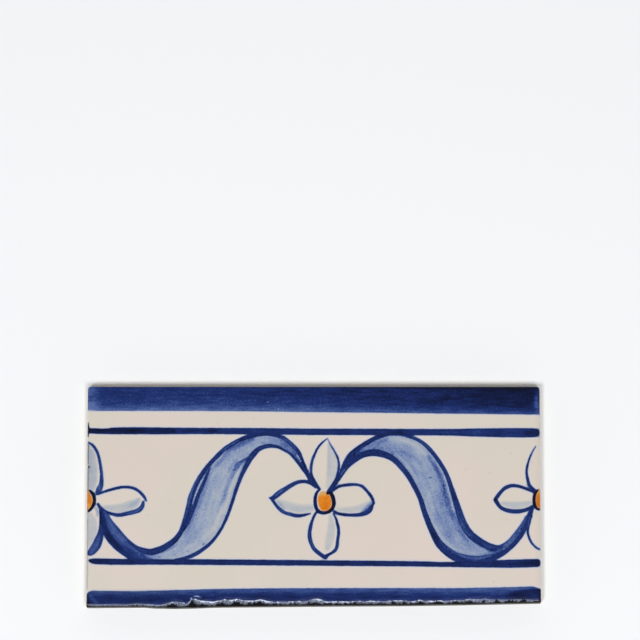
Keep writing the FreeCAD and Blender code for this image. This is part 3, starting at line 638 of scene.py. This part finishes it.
def roll_edge(places, inset, way_out, depth, radius):
    """Bends the arris of a pressed side into a quarter round; returns each place's new depth."""
    near = (inset < radius) & (depth < radius)
    across = radius - inset
    down = radius - depth
    scale = radius / np.maximum(np.hypot(across, down), TINY)
    new_inset = np.where(near, radius - across * scale, inset)
    places[:, :2] += way_out * (inset - new_inset)[:, None]
    return np.where(near, radius - down * scale, depth)


def rough_noise(spot, octaves):
    """Noise at a spot, summed over rows of (height, fineness, layer)."""
    return sum(height * noise.noise(spot * fineness + Vector((0, 0, layer)))
               for height, fineness, layer in octaves)


def break_edge(places, rim, face_count):
    """Breaks the sawn arris; returns how far across the break each place lies.

    Below 0 is sound glaze, 0 to 1 the snapped rim, 1 to 2 the scoops in the body, from 2 on the sawn wall.
    """
    face = places[:face_count]
    x, y = face[:, 0], face[:, 1]
    stations, glaze_line, rim_line = np.array(BREAK).T
    glaze_end = np.interp(x, stations, glaze_line)
    rim_end = np.interp(x, stations, rim_line)
    rough = np.zeros(face_count)
    for index in np.flatnonzero(y < glaze_end + BREAK_MARGIN):
        spot = Vector((x[index], y[index], 0))
        glaze_end[index] += rough_noise(spot, GLAZE_END_NOISE)
        rim_end[index] += rough_noise(spot, RIM_END_NOISE)
        rough[index] = rough_noise(spot, SCOOP_NOISE)
    wall = saw_edge(x)
    rim_end = np.clip(rim_end, wall + LEAST_SCOOP, glaze_end - LEAST_RIM)
    over_rim = (glaze_end - y) / (glaze_end - rim_end)
    on_rim = np.clip(over_rim, 0, 1)
    over_scoop = np.clip((rim_end - y) / (rim_end - wall), 0, 1)
    across = np.where(over_rim < 1, over_rim, 1 + over_scoop)
    full_drop = BREAK_DROP + BREAK_SLOPE * (glaze_end - wall)
    drop = RIM_DROP * on_rim ** RIM_BEND + np.maximum(full_drop - RIM_DROP, 0) * np.sqrt(over_scoop)
    drop = np.maximum(drop + BREAK_ROUGHNESS * rough * on_rim, LEAST_DROP)
    drop = np.where(over_rim > 0, drop, 0)
    face[:, 2] -= drop
    all_across = np.maximum(across, SOUND)
    rim_drop = drop[rim]
    for first in range(face_count, len(places), len(rim)):
        level = places[first:first + len(rim)]
        level[:, 2] *= 1 - rim_drop / THICKNESS
        below = THICKNESS - level[:, 2] - rim_drop
        all_across = np.concatenate([all_across, np.where(across[rim] > 0, 2 + below, SOUND)])
    return all_across


# The painting

def curve_points(points, spacing=0.2):
    """A smooth curve through points of any size of row, sampled evenly enough."""
    points = np.array(points, float)
    padded = np.vstack([2 * points[0] - points[1], points, 2 * points[-1] - points[-2]])
    samples = []
    for before, start, end, after in zip(padded, padded[1:], padded[2:], padded[3:]):
        count = max(int(np.hypot(*(end - start)[:2]) / spacing), 2)
        t = np.linspace(0, 1, count, endpoint=False)[:, None]
        bend = 2 * before - 5 * start + 4 * end - after
        twist = 3 * start - before - 3 * end + after
        samples.append(start + 0.5 * ((end - before) * t + bend * t ** 2 + twist * t ** 3))
    return np.vstack(samples + [points[-1:]])


def nearest_on_curve(spots, curve, batch=4000):
    """Distance, less half the width, from each spot to a curve, and the number of the nearest sample."""
    best = np.full(len(spots), np.inf)
    which = np.zeros(len(spots), int)
    half = curve[:, 2] / 2 if curve.shape[1] > 2 else np.zeros(len(curve))
    for first in range(0, len(spots), batch):
        part = spots[first:first + batch, None]
        gap = np.hypot(part[..., 0] - curve[:, 0], part[..., 1] - curve[:, 1]) - half
        which[first:first + batch] = gap.argmin(axis=1)
        best[first:first + batch] = gap.min(axis=1)
    return best, which


def lengths_along(curve):
    return np.concatenate([[0], np.cumsum(np.hypot(*np.diff(curve[:, :2], axis=0).T))])


def within(spots, outline):
    """Which spots lie inside a closed outline."""
    inside = np.zeros(len(spots), bool)
    for (x0, y0), (x1, y1) in zip(outline, np.roll(outline, -1, axis=0)):
        if y0 != y1:
            crosses = (spots[:, 1] > min(y0, y1)) & (spots[:, 1] <= max(y0, y1))
            at = x0 + (spots[crosses, 1] - y0) * (x1 - x0) / (y1 - y0)
            inside[np.flatnonzero(crosses)[spots[crosses, 0] < at]] ^= True
    return inside


def dot(x, y, width):
    """A stroke so short that it leaves a round dot."""
    return [(x - DOT_REACH, y, width), (x + DOT_REACH, y, width)]


def middle_line(*names):
    """The points (x, y) of strokes that follow one another."""
    return [point[:2] for name in names for point in STROKES[name][1]]


class Painting:
    """What the brush left at each place on the face."""
    REACH = 4.0              # how far from a stroke its edge is still measured
    BLEND = 0.6              # width over which one stroke's load runs into another's
    BAND_MARGIN = 0.3        # how far past a band's edge its grain reaches

    def __init__(self, spots):
        self.spots = spots
        count = len(spots)
        self.line_edge = np.full(count, self.REACH)
        self.line_load = np.zeros(count)
        self.covered_load = np.zeros(count)
        self.flow = np.column_stack([spots, np.zeros(count)])
        self.wash_load = np.zeros(count)
        self.wash_flow = self.flow.copy()
        self.in_ribbon = np.zeros(count)
        self.orange_edge = np.full(count, self.REACH)
        self.orange_tone = np.full(count, ORANGE_TONE)
        self.flaked = np.zeros(count)
        self.grime_and_shade = np.zeros(count)
        self.grain = np.full(count, GLAZE_GRAIN)

    def edge_of(self, points):
        """The spots near a stroke, their distance from its edge, and how far along it they lie."""
        curve = curve_points(points)
        low = curve[:, :2].min(axis=0) - self.REACH
        high = curve[:, :2].max(axis=0) + self.REACH
        near = np.flatnonzero(((self.spots > low) & (self.spots < high)).all(axis=1))
        edge, which = nearest_on_curve(self.spots[near], curve)
        return near, edge, lengths_along(curve)[which] + points[0][0]

    def cover(self, softness, points):
        """The spots near a soft stroke, and how far it covers each."""
        near, edge, _ = self.edge_of(points)
        return near, smooth_step(-edge, -softness / 2, softness / 2)

    def line(self, near, edge, load, along):
        """Adds a region of dark line with its edge and load at the spots given."""
        closer = edge < self.line_edge[near]
        self.line_edge[near] = np.minimum(self.line_edge[near], edge)
        self.line_load[near] = np.where(closer, load, self.line_load[near])
        covered = load * np.clip(0.5 - edge / self.BLEND, 0, 1)
        self.covered_load[near] = np.maximum(self.covered_load[near], covered)
        self.flow[near[closer], 0] = along[closer]
        self.flow[near[closer], 1] = edge[closer]

    def stroke(self, load, points):
        near, edge, along = self.edge_of(points)
        self.line(near, edge, load, along)

    def settle_lines(self):
        """Lets the heavier of two strokes show where they overlap."""
        self.line_load = np.maximum(self.line_load, self.covered_load)

    def draw_towards(self, values, target, softness, points):
        """Draws values towards a target under a soft stroke."""
        near, share = self.cover(softness, points)
        values[near] += share * (target - values[near])

    def streak(self, load, softness, points):
        """Draws the wash towards a load, inside the ribbons only."""
        near, share = self.cover(softness, points)
        self.wash_load[near] += share * (load - self.wash_load[near]) * self.in_ribbon[near]

    def lay_over(self, values, amount, softness, points):
        """Raises values to an amount under a soft stroke."""
        near, share = self.cover(softness, points)
        values[near] = np.maximum(values[near], amount * share)

    def orange(self, points):
        near, edge, _ = self.edge_of(points)
        self.orange_edge[near] = np.minimum(self.orange_edge[near], edge)

    def ribbon(self, outer, inner, table):
        """Fills a ribbon between two lines; the table gives its wash along and across."""
        outer, inner = curve_points(outer), curve_points(inner)
        inside = np.flatnonzero(within(self.spots, np.vstack([outer, inner[::-1]])))
        to_outer, on_outer = nearest_on_curve(self.spots[inside], outer)
        to_inner, on_inner = nearest_on_curve(self.spots[inside], inner)
        across = to_outer / np.maximum(to_outer + to_inner, TINY)
        outer_along, inner_along = lengths_along(outer), lengths_along(inner)
        outer_share = outer_along[on_outer] / outer_along[-1]
        inner_share = inner_along[on_inner] / inner_along[-1]
        share = (1 - across) * outer_share + across * inner_share
        stations, *columns = np.array(table).T
        by_outer, amid, by_inner = (np.interp(share, stations, column) for column in columns)
        outer_half = by_outer + (amid - by_outer) * across * 2
        inner_half = amid + (by_inner - amid) * (across * 2 - 1)
        self.wash_load[inside] = np.where(across < 0.5, outer_half, inner_half)
        self.wash_flow[inside, 0] = share * (outer_along[-1] + inner_along[-1]) / 2
        self.wash_flow[inside, 1] = to_outer
        self.in_ribbon[inside] = 1
        self.grain[inside] = RIBBON_GRAIN

    def band(self, edge_points, upward, along, across, depth, grain):
        """A broad band between a drawn edge and a side of the tile."""
        drop = along_table(self.spots[:, 0], edge_points) - self.spots[:, 1]
        edge = drop if upward else -drop
        near = np.flatnonzero(edge < self.REACH)
        edge = edge[near]
        share = np.clip(1 + edge / depth if upward else -edge / depth, 0, 1)
        load = along_table(self.spots[near, 0], along) + along_table(share, across)
        self.line(near, edge, load, self.spots[near, 0])
        self.grain[near[edge < self.BAND_MARGIN]] = grain


def paint(spots):
    """The whole border: ribbons, petals, specks, bands, lines, wear, grime, painted shade and orange middles.
    """
    painting = Painting(spots)
    left_outer = middle_line("left_outer", "left_crest")[LEFT_RIBBON_START:]
    painting.ribbon(left_outer, LEFT_RIBBON_FOOT + middle_line("left_inner"), LEFT_RIBBON_WASH)
    painting.ribbon(middle_line("right_outer", "right_crest"), middle_line("right_inner"), RIGHT_RIBBON_WASH)
    for streak in STREAKS:
        painting.streak(*streak)
    for wash in WASHES:
        painting.draw_towards(painting.wash_load, *wash)
    for load, *place in SPECKS:
        painting.draw_towards(painting.wash_load, load, SPECK_SOFTNESS, dot(*place))
    top_depth = FAR_EDGE - TOP_BAND_MIDDLE
    painting.band(TOP_BAND, True, TOP_BAND_ALONG, TOP_BAND_ACROSS, top_depth, TOP_BAND_GRAIN)
    bottom_depth = BOTTOM_BAND_MIDDLE - NEAR_EDGE
    painting.band(BOTTOM_BAND, False, BOTTOM_BAND_ALONG, BOTTOM_BAND_ACROSS, bottom_depth, GLAZE_GRAIN)
    for load, points in STROKES.values():
        painting.stroke(load, points)
    painting.settle_lines()
    for accent in ACCENTS:
        painting.draw_towards(painting.line_load, *accent)
    for flake in FLAKES:
        painting.lay_over(painting.flaked, *flake)
    # These rows lay grime, dark marks and painted shade.
    for grime in GRIME_AND_SHADE:
        painting.lay_over(painting.grime_and_shade, *grime)
    for hidden, *place in GRIME_DOTS:
        painting.lay_over(painting.grime_and_shade, hidden, GRIME_SOFTNESS, dot(*place))
    for points in ORANGE:
        painting.orange(points)
    for tone in ORANGE_TONES:
        painting.draw_towards(painting.orange_tone, *tone)
    return painting


# The mesh

def recess_outline(middle, radius):
    """A slot's outline: straight sides and round ends."""
    reach = HALF_LENGTH - KEY_END_MARGIN - KEY_WIDTH / 2
    turn = np.linspace(-math.pi / 2, math.pi / 2, ROUND_POINTS)
    right = np.column_stack([reach + radius * np.cos(turn), middle + radius * np.sin(turn)])
    return np.vstack([right, right[::-1] * (-1, 1)])


def back_cap(ring_places):
    """Closes the back inside the lowest ring: new places, and triangles numbered from the ring's first."""
    outlines, heights = [ring_places[:, :2]], []
    for key in range(KEY_COUNT):
        middle = FAR_EDGE - KEY_EDGE_MARGIN - KEY_WIDTH / 2 - key * KEY_PITCH
        for radius, height in ((KEY_WIDTH / 2, 0.0), (KEY_WIDTH / 2 - KEY_DRAFT, KEY_DEPTH)):
            outlines.append(recess_outline(middle, radius))
            heights.append(np.full(len(outlines[-1]), height))
    edges, first = [], 0
    for outline in outlines:
        numbers = np.arange(first, first + len(outline))
        edges += list(zip(numbers.tolist(), np.roll(numbers, -1).tolist()))
        first += len(outline)
    flat = [Vector(spot) for spot in np.vstack(outlines)]
    inside_only = 1
    _, _, faces, origins, _, _ = delaunay_2d_cdt(flat, edges, [], inside_only, WELD)
    source = [origin[0] for origin in origins]
    assert sorted(source) == list(range(len(flat)))
    triangles = [[source[corner] for corner in reversed(face)] for face in faces]
    added = np.column_stack([np.vstack(outlines[1:]), np.concatenate(heights)])
    return added, triangles


def store(mesh, name, values):
    """Keeps a number or a vector at each place of the mesh."""
    kind, key = ("FLOAT", "value") if values.ndim == 1 else ("FLOAT_VECTOR", "vector")
    attribute = mesh.attributes.new(name, kind, "POINT")
    attribute.data.foreach_set(key, np.ascontiguousarray(values, np.float32).ravel())


def add_object(name, data):
    """Puts a new object with its data into the scene."""
    thing = bpy.data.objects.new(name, data)
    bpy.context.scene.collection.objects.link(thing)
    return thing


def glaze_waves(x, y):
    """Slow waves of the fired glaze, from -1 to 1."""
    return (np.sin(x / 9 + 1) * np.sin(y / 7 + 2) + np.sin(x / 4.1 + y / 6.3) + np.sin(y / 3.7 - x / 8)) / 3


def make_tile(materials):
    """The tile as one closed mesh, with the painting stored at its places."""
    places, face_quads, wall_quads, rim, face_count, sawn_count = box_surface()
    inset, way_out = round_corners(places)
    painting = paint(places[:face_count, :2].copy())
    depth = roll_edge(places, inset, way_out, THICKNESS - places[:, 2], FACE_ROLL)
    places[:, 2] = roll_edge(places, inset, way_out, THICKNESS - depth, BACK_ROLL)
    face = places[:face_count]
    waves = WAVE_HEIGHT * glaze_waves(face[:, 0], face[:, 1])
    pigment = STROKE_HEIGHT * smooth_step(-painting.line_edge, *STROKE_EDGE)
    settled = smooth_step(inset[:face_count], 0, EDGE_FADE) / smooth_step(CORNER_RADIUS, 0, EDGE_FADE)
    face[:, 2] += (waves + pigment - GLAZE_DIP) * settled
    across = break_edge(places, rim, face_count)
    ring = np.arange(len(places) - len(rim), len(places))
    added, triangles = back_cap(places[ring])
    numbers = np.concatenate([ring, len(places) + np.arange(len(added))])
    cap = numbers[np.array(triangles)].tolist()
    places = np.vstack([places, added])

    mesh = bpy.data.meshes.new("border_tile_glazed")
    faces = face_quads.tolist() + wall_quads.tolist() + cap
    mesh.from_pydata(places * MM, [], faces)
    levels = len(WALL_DEPTHS) - 1
    for name in STORED:
        values = getattr(painting, name)
        back = np.zeros((len(added),) + values.shape[1:])
        store(mesh, name, np.concatenate([values] + [values[rim]] * levels + [back]))
    store(mesh, "across", np.concatenate([across, np.full(len(added), SOUND)]))
    for material in materials:
        mesh.materials.append(material)
    glaze, sawn, bare = range(3)
    level, around = np.divmod(np.arange(len(wall_quads)), len(rim))
    pressed = np.where(np.array(WALL_DEPTHS)[level] < GLAZE_RUN, glaze, bare)
    wall_kinds = np.where(around < sawn_count, sawn, pressed)
    kinds = np.concatenate([np.full(len(face_quads), glaze), wall_kinds, np.full(len(cap), bare)])
    mesh.polygons.foreach_set("material_index", kinds.astype(np.int32))
    mesh.polygons.foreach_set("use_smooth", np.ones(len(faces), bool))
    mesh.validate()
    mesh.update()
    return add_object("glazed_tile", mesh)


# Materials

class Nodes:
    """A node tree, with short words for the nodes that it needs."""

    def __init__(self, owner):
        owner.use_nodes = True
        self.tree = owner.node_tree

    def put(self, socket, value):
        if isinstance(value, bpy.types.NodeSocket):
            self.tree.links.new(value, socket)
        else:
            socket.default_value = value

    def add(self, kind, inputs, output=0, **settings):
        """Adds a node with its settings and inputs; returns one of its outputs."""
        node = self.tree.nodes.new("ShaderNode" + kind)
        for name, value in settings.items():
            setattr(node, name, value)
        for socket, value in inputs.items():
            self.put(node.inputs[socket], value)
        return node.outputs[output]

    def vector(self, operation, a, b):
        return self.add("VectorMath", {0: a, 1: b}, operation=operation)

    def axis(self, place, name):
        return self.add("SeparateXYZ", {0: place}, name)

    def math(self, operation, a, b=0.0):
        return self.add("Math", {0: a, 1: b}, operation=operation)

    def total(self, first, *rest):
        for value in rest:
            first = self.math("ADD", first, value)
        return first

    def times(self, a, b):
        return self.math("MULTIPLY", a, b)

    def rest_of(self, share):
        return self.math("SUBTRACT", 1.0, share)

    def attribute(self, name, output="Fac"):
        return self.add("Attribute", {}, output, attribute_name=name)

    def noise(self, place, scale, detail=2.0, spread=1.0):
        """Noise about zero, spread wide either way."""
        level = self.add("TexNoise", {"Vector": place, "Scale": scale, "Detail": detail}, "Fac")
        return self.times(self.math("SUBTRACT", level, 0.5), 2 * spread)

    def step(self, value, low, high, start=0.0, end=1.0, way="SMOOTHSTEP"):
        """Start where the value is at low, end where it is at high, and smoothly from one to the other."""
        inputs = {"Value": value, "From Min": low, "From Max": high, "To Min": start, "To Max": end}
        return self.add("MapRange", inputs, "Result", interpolation_type=way)

    def mix(self, share, a, b):
        return self.add("Mix", {0: share, 2: a, 3: b}, data_type="FLOAT")

    def blend(self, share, a, b):
        """Mixes two colours."""
        return self.add("Mix", {0: share, 6: a, 7: b}, 2, data_type="RGBA")

    def ramp(self, value, stops):
        """A colour ramp; each stop is a position and a colour."""
        node = self.tree.nodes.new("ShaderNodeValToRGB")
        elements = node.color_ramp.elements
        while len(elements) < len(stops):
            elements.new(0.5)
        for element, (position, colour) in zip(elements, stops):
            element.position = position
            element.color = colour
        self.put(node.inputs[0], value)
        return node.outputs[0]


class Shader(Nodes):
    """The nodes of one of the tile's materials."""

    def __init__(self, name):
        self.material = bpy.data.materials.new(name)
        super().__init__(self.material)
        self.surface = self.tree.nodes["Principled BSDF"].inputs
        self.place = self.vector("MULTIPLY", self.add("TexCoord", {}, "Object"), (1 / MM,) * 3)

    def bump(self, height, distance):
        normal = self.add("Bump", {"Height": height, "Distance": distance})
        self.put(self.surface["Normal"], normal)

    def finish(self, colour, roughness):
        self.put(self.surface["Base Color"], colour)
        self.put(self.surface["Roughness"], roughness)
        return self.material


def fracture_colour(shader):
    """Broken glaze and body: a rim with a painted highlight amid the edge, grey scoops with painted shade at
    their foot, black painted shade in the hollows, the dark grey wall.
    """
    place = shader.place
    across = shader.attribute("across")
    uneven = shader.total(shader.noise(place, 0.9, 3, 0.5), shader.noise(place, 2.0, 2, 0.7), 1.0)
    ragged = shader.times(across, uneven)
    reach = shader.step(ragged, 0.0, FRACTURE_REACH, way="LINEAR")
    # The tones across the break, with painted shade darkest at the foot of the scoops.
    body = shader.ramp(reach, picture_stops(FRACTURE_TONES))
    shade = shader.step(shader.noise(place, 1.3), -0.06, 0.16, 0.0, 0.75)
    shade = shader.times(shade, shader.step(across, 1.8, 3.0, 1.0, 0.25))
    body = shader.blend(shade, body, rgba(*SCOOP_SHADE))
    lengthwise = shader.vector("MULTIPLY", place, (1.0, 0.15, 0.15))
    along = shader.axis(place, "X")
    amid = shader.step(shader.math("ABSOLUTE", along), *PAINTED_HIGHLIGHT_STRETCH)
    # Painted highlight: a bright sheen painted in patches on the snapped rim, amid the edge.
    patchy = shader.total(shader.noise(lengthwise, 0.25, 2, 0.8), shader.noise(place, 1.1))
    painted_sheen = shader.times(shader.step(patchy, -0.16, 0.20), amid)
    rim = shader.blend(painted_sheen, rgba(*DULL_RIM), rgba(*PAINTED_HIGHLIGHT_RIM))
    body = shader.blend(shader.step(ragged, 0.58, 0.36), body, rim)
    # Painted shade: black laid into the hollows under the scoops.
    lower_right = shader.step(along, 18.0, 40.0, 1.22, 0.92)
    hollow_top = shader.total(shader.noise(lengthwise, 0.7, 2, 2.1), shader.noise(place, 1.8, 2, 0.8),
                              lower_right)
    hollow_shade = shader.step(shader.math("SUBTRACT", across, hollow_top), -0.05, 0.06, 0.0, 0.95)
    hollow_shade = shader.times(hollow_shade, shader.step(across, 2.1, 3.0, 1.0, 0.0))
    return shader.blend(hollow_shade, body, rgba(*HOLLOW_SHADE))


def biscuit_colour(shader):
    """Bare fired clay, buff and faintly speckled."""
    place = shader.place
    tone = shader.total(shader.noise(place, 0.12, 4, 0.5), shader.noise(place, 1.4, 4, 0.3))
    clay = shader.ramp(shader.step(tone, -0.7, 0.7), picture_stops(CLAY_TONES))
    speck = shader.step(shader.noise(place, 2.6, 2, 0.5), 0.24, 0.34)
    return shader.blend(shader.times(speck, 0.5), clay, rgba(*CLAY_SPECK))


def blue_load(shader, edge, ink):
    """Load of blue pigment: dark lines over streaked and speckled washes, less what has flaked off."""
    place = shader.place
    grain = shader.attribute("grain")
    fine_grain = shader.times(shader.noise(place, 1.5, 4), grain)
    blotch = shader.noise(place, 0.30, 3)
    line_flow = shader.vector("MULTIPLY", shader.attribute("flow", "Vector"), (0.14, 1.2, 1.0))
    line_streak = shader.noise(line_flow, 1.0, 3)
    pooled = shader.step(edge, -0.60, -0.15, 0.0, 0.07)
    line = shader.total(shader.attribute("line_load"), shader.times(fine_grain, 0.26),
                        shader.times(line_streak, 0.15), shader.times(blotch, 0.07), pooled)
    wash_flow = shader.vector("MULTIPLY", shader.attribute("wash_flow", "Vector"), (0.09, 0.8, 1.0))
    wash_streak = shader.noise(wash_flow, 1.0, 3)
    change = shader.total(shader.times(wash_streak, 0.32), shader.times(fine_grain, 0.42),
                          shader.times(blotch, 0.30), 1.0)
    wash = shader.times(shader.attribute("wash_load"), change)
    specks = shader.times(shader.step(shader.noise(place, 1.8, 1), 0.32, 0.52), grain)
    wash = shader.total(wash, shader.times(specks, shader.times(wash, 0.45)))
    load = shader.mix(ink, wash, shader.math("MAXIMUM", line, wash))
    return shader.times(load, shader.rest_of(shader.attribute("flaked")))


def painted_glaze():
    """Cream glaze over blue pigment and orange middles, broken by the saw and bare low on the sides."""
    shader = Shader("painted_glaze")
    place = shader.place
    edge = shader.total(shader.attribute("line_edge"), shader.noise(place, 0.55, 2, 0.10),
                        shader.noise(place, 2.4, 2, 0.06))
    ink = shader.step(edge, -0.27, 0.25, 1, 0)
    load = blue_load(shader, edge, ink)
    blue_stops = [(load_at / HEAVIEST, *colour) for load_at, *colour in PIGMENT]
    blue = shader.ramp(shader.times(load, 1 / HEAVIEST), picture_stops(blue_stops))
    warmth = shader.step(shader.noise(place, 0.035, 3), -0.45, 0.45)
    cream = shader.blend(warmth, rgba(*GREENISH), rgba(*PINKISH))
    cream = shader.blend(shader.step(edge, 0.9, 0.25, 0.0, 0.6), cream, rgba(*HALO))
    colour = shader.blend(shader.step(load, 0.12, 0.0), blue, cream)

    orange_edge = shader.total(shader.attribute("orange_edge"), shader.noise(place, 0.8, 2, 0.15))
    tone = shader.total(shader.attribute("orange_tone"), shader.noise(place, 0.9, 3, 0.22))
    tone = shader.times(tone, shader.step(orange_edge, 0.2, -0.6))
    orange = shader.ramp(shader.times(tone, 1 / HEAVIEST_ORANGE), picture_stops(ORANGE_COLOURS))
    orange_share = shader.times(shader.step(orange_edge, 0.25, -0.35), shader.rest_of(ink))
    colour = shader.blend(orange_share, colour, orange)

    across = shader.attribute("across")
    broken = shader.step(across, -0.02, 0.30)
    colour = shader.blend(broken, colour, fracture_colour(shader))
    # Grime, and painted shade on the half flowers' orange and in the break's hollows, darken the colour.
    colour = shader.blend(shader.attribute("grime_and_shade"), colour, rgba(*GRIME_AND_SHADE_BLACK))
    depth = shader.math("SUBTRACT", THICKNESS, shader.axis(place, "Z"))
    run = shader.total(depth, shader.noise(place, 0.22, 2, 0.9))
    bare = shader.times(shader.step(run, 1.2, 1.35), shader.rest_of(broken))
    colour = shader.blend(bare, colour, biscuit_colour(shader))
    rough = shader.math("MAXIMUM", shader.step(across, -0.55, -0.15), bare)
    ripple = shader.total(shader.noise(place, 0.35, 2, 0.5), shader.noise(place, 1.6, 2, 0.1))
    shader.bump(ripple, GLAZE_RIPPLE)
    shader.put(shader.surface["Specular IOR Level"], shader.mix(rough, GLAZE_SHINE, BODY_SHINE))
    return shader.finish(colour, shader.mix(rough, GLAZE_ROUGHNESS, BODY_ROUGHNESS))


def sawn_body():
    """The sawn side: bare body, with painted shade just under the break and grime below it, and the marks of
    the saw.
    """
    shader = Shader("sawn_body")
    marks = shader.vector("MULTIPLY", shader.place, (1.4, 1.4, 0.12))
    shader.bump(shader.noise(marks, 1.2, 3, 0.5), SAW_MARKS)
    shader.put(shader.surface["Specular IOR Level"], BODY_SHINE)
    grime = shader.step(shader.noise(marks, 1.0, 4, 0.5), -0.1, 0.4, 0.0, 0.35)
    colour = shader.blend(grime, fracture_colour(shader), rgba(*SAW_GRIME))
    return shader.finish(colour, BODY_ROUGHNESS)


def biscuit():
    """Bare clay low on the pressed sides and over the keyed back."""
    shader = Shader("biscuit")
    shader.bump(shader.noise(shader.place, 3.0, 4, 0.5), CLAY_GRAIN)
    return shader.finish(biscuit_colour(shader), BODY_ROUGHNESS)


# The setting

def add_camera():
    """The camera of the photograph, which looks down on the tile from its sawn side."""
    data = bpy.data.cameras.new("camera")
    data.sensor_width = SENSOR
    data.lens = FOCAL_PIXELS * SENSOR / FRAME_PIXELS
    camera = add_object("camera", data)
    back = Vector((0, -math.sin(CAMERA_LEAN), math.cos(CAMERA_LEAN))) * CAMERA_DISTANCE
    camera.location = (Vector((*AIM, THICKNESS)) + back) * MM
    camera.rotation_euler = (CAMERA_LEAN, 0, 0)
    bpy.context.scene.camera = camera


def add_lamp(name, x, size, power):
    """A soft box, metres wide and deep, that faces the tile from above its sawn side."""
    data = bpy.data.lights.new(name, "AREA")
    data.shape = "RECTANGLE"
    data.size, data.size_y = size
    data.energy = power
    lamp = add_object(name, data)
    lamp.location = (x, LAMP_SETBACK, LAMP_HEIGHT)
    lamp.rotation_euler = lamp.location.to_track_quat("Z", "Y").to_euler()


def add_world():
    """Pale at the horizon and dim overhead, so that the glaze mirrors no bright sky into the camera."""
    world = bpy.data.worlds.new("studio")
    nodes = Nodes(world)
    height = nodes.axis(nodes.add("TexCoord", {}, "Generated"), "Z")
    sky = nodes.ramp(height, [(position, (level, level, level, 1)) for position, level in SKY])
    nodes.put(nodes.tree.nodes["Background"].inputs["Color"], sky)
    bpy.context.scene.world = world


def add_floor():
    """A pale floor, lit near the tile; further off it is its own plain pale tone to the camera."""
    mesh = bpy.data.meshes.new("floor")
    corners = [(-1, -1), (1, -1), (1, 1), (-1, 1)]
    mesh.from_pydata([(x * FLOOR_REACH, y * FLOOR_REACH, 0) for x, y in corners], [], [(0, 1, 2, 3)])
    material = bpy.data.materials.new("floor")
    nodes = Nodes(material)
    nodes.tree.nodes.remove(nodes.tree.nodes["Principled BSDF"])
    tone = rgba(*FLOOR_TONE)
    lit = nodes.add("BsdfDiffuse", {"Color": (*(part / LIGHT_LEVEL for part in tone[:3]), 1)})
    plain = nodes.add("Emission", {"Color": tone})
    seen = nodes.math("MAXIMUM", nodes.add("LightPath", {}, "Is Camera Ray"),
                      nodes.add("LightPath", {}, "Is Glossy Ray"))
    position = nodes.add("NewGeometry", {}, "Position")
    distance = nodes.add("VectorMath", {0: position}, "Value", operation="LENGTH")
    share = nodes.times(nodes.step(distance, *FLOOR_FADE), seen)
    surface = nodes.add("MixShader", {0: share, 1: lit, 2: plain})
    nodes.put(nodes.tree.nodes["Material Output"].inputs["Surface"], surface)
    mesh.materials.append(material)
    floor = add_object("floor", mesh)


tile = make_tile([painted_glaze(), sawn_body(), biscuit()])
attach(tile, "root")
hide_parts("border_tile")
add_camera()
add_floor()
add_world()
add_lamp("overhead", 0.0, (0.40, 0.45), 6.0)
add_lamp("left", -0.36, (0.07, 0.45), 16.6)
add_lamp("right", 0.26, (0.08, 0.45), 12.7)
bpy.context.scene.view_settings.view_transform = "Standard"
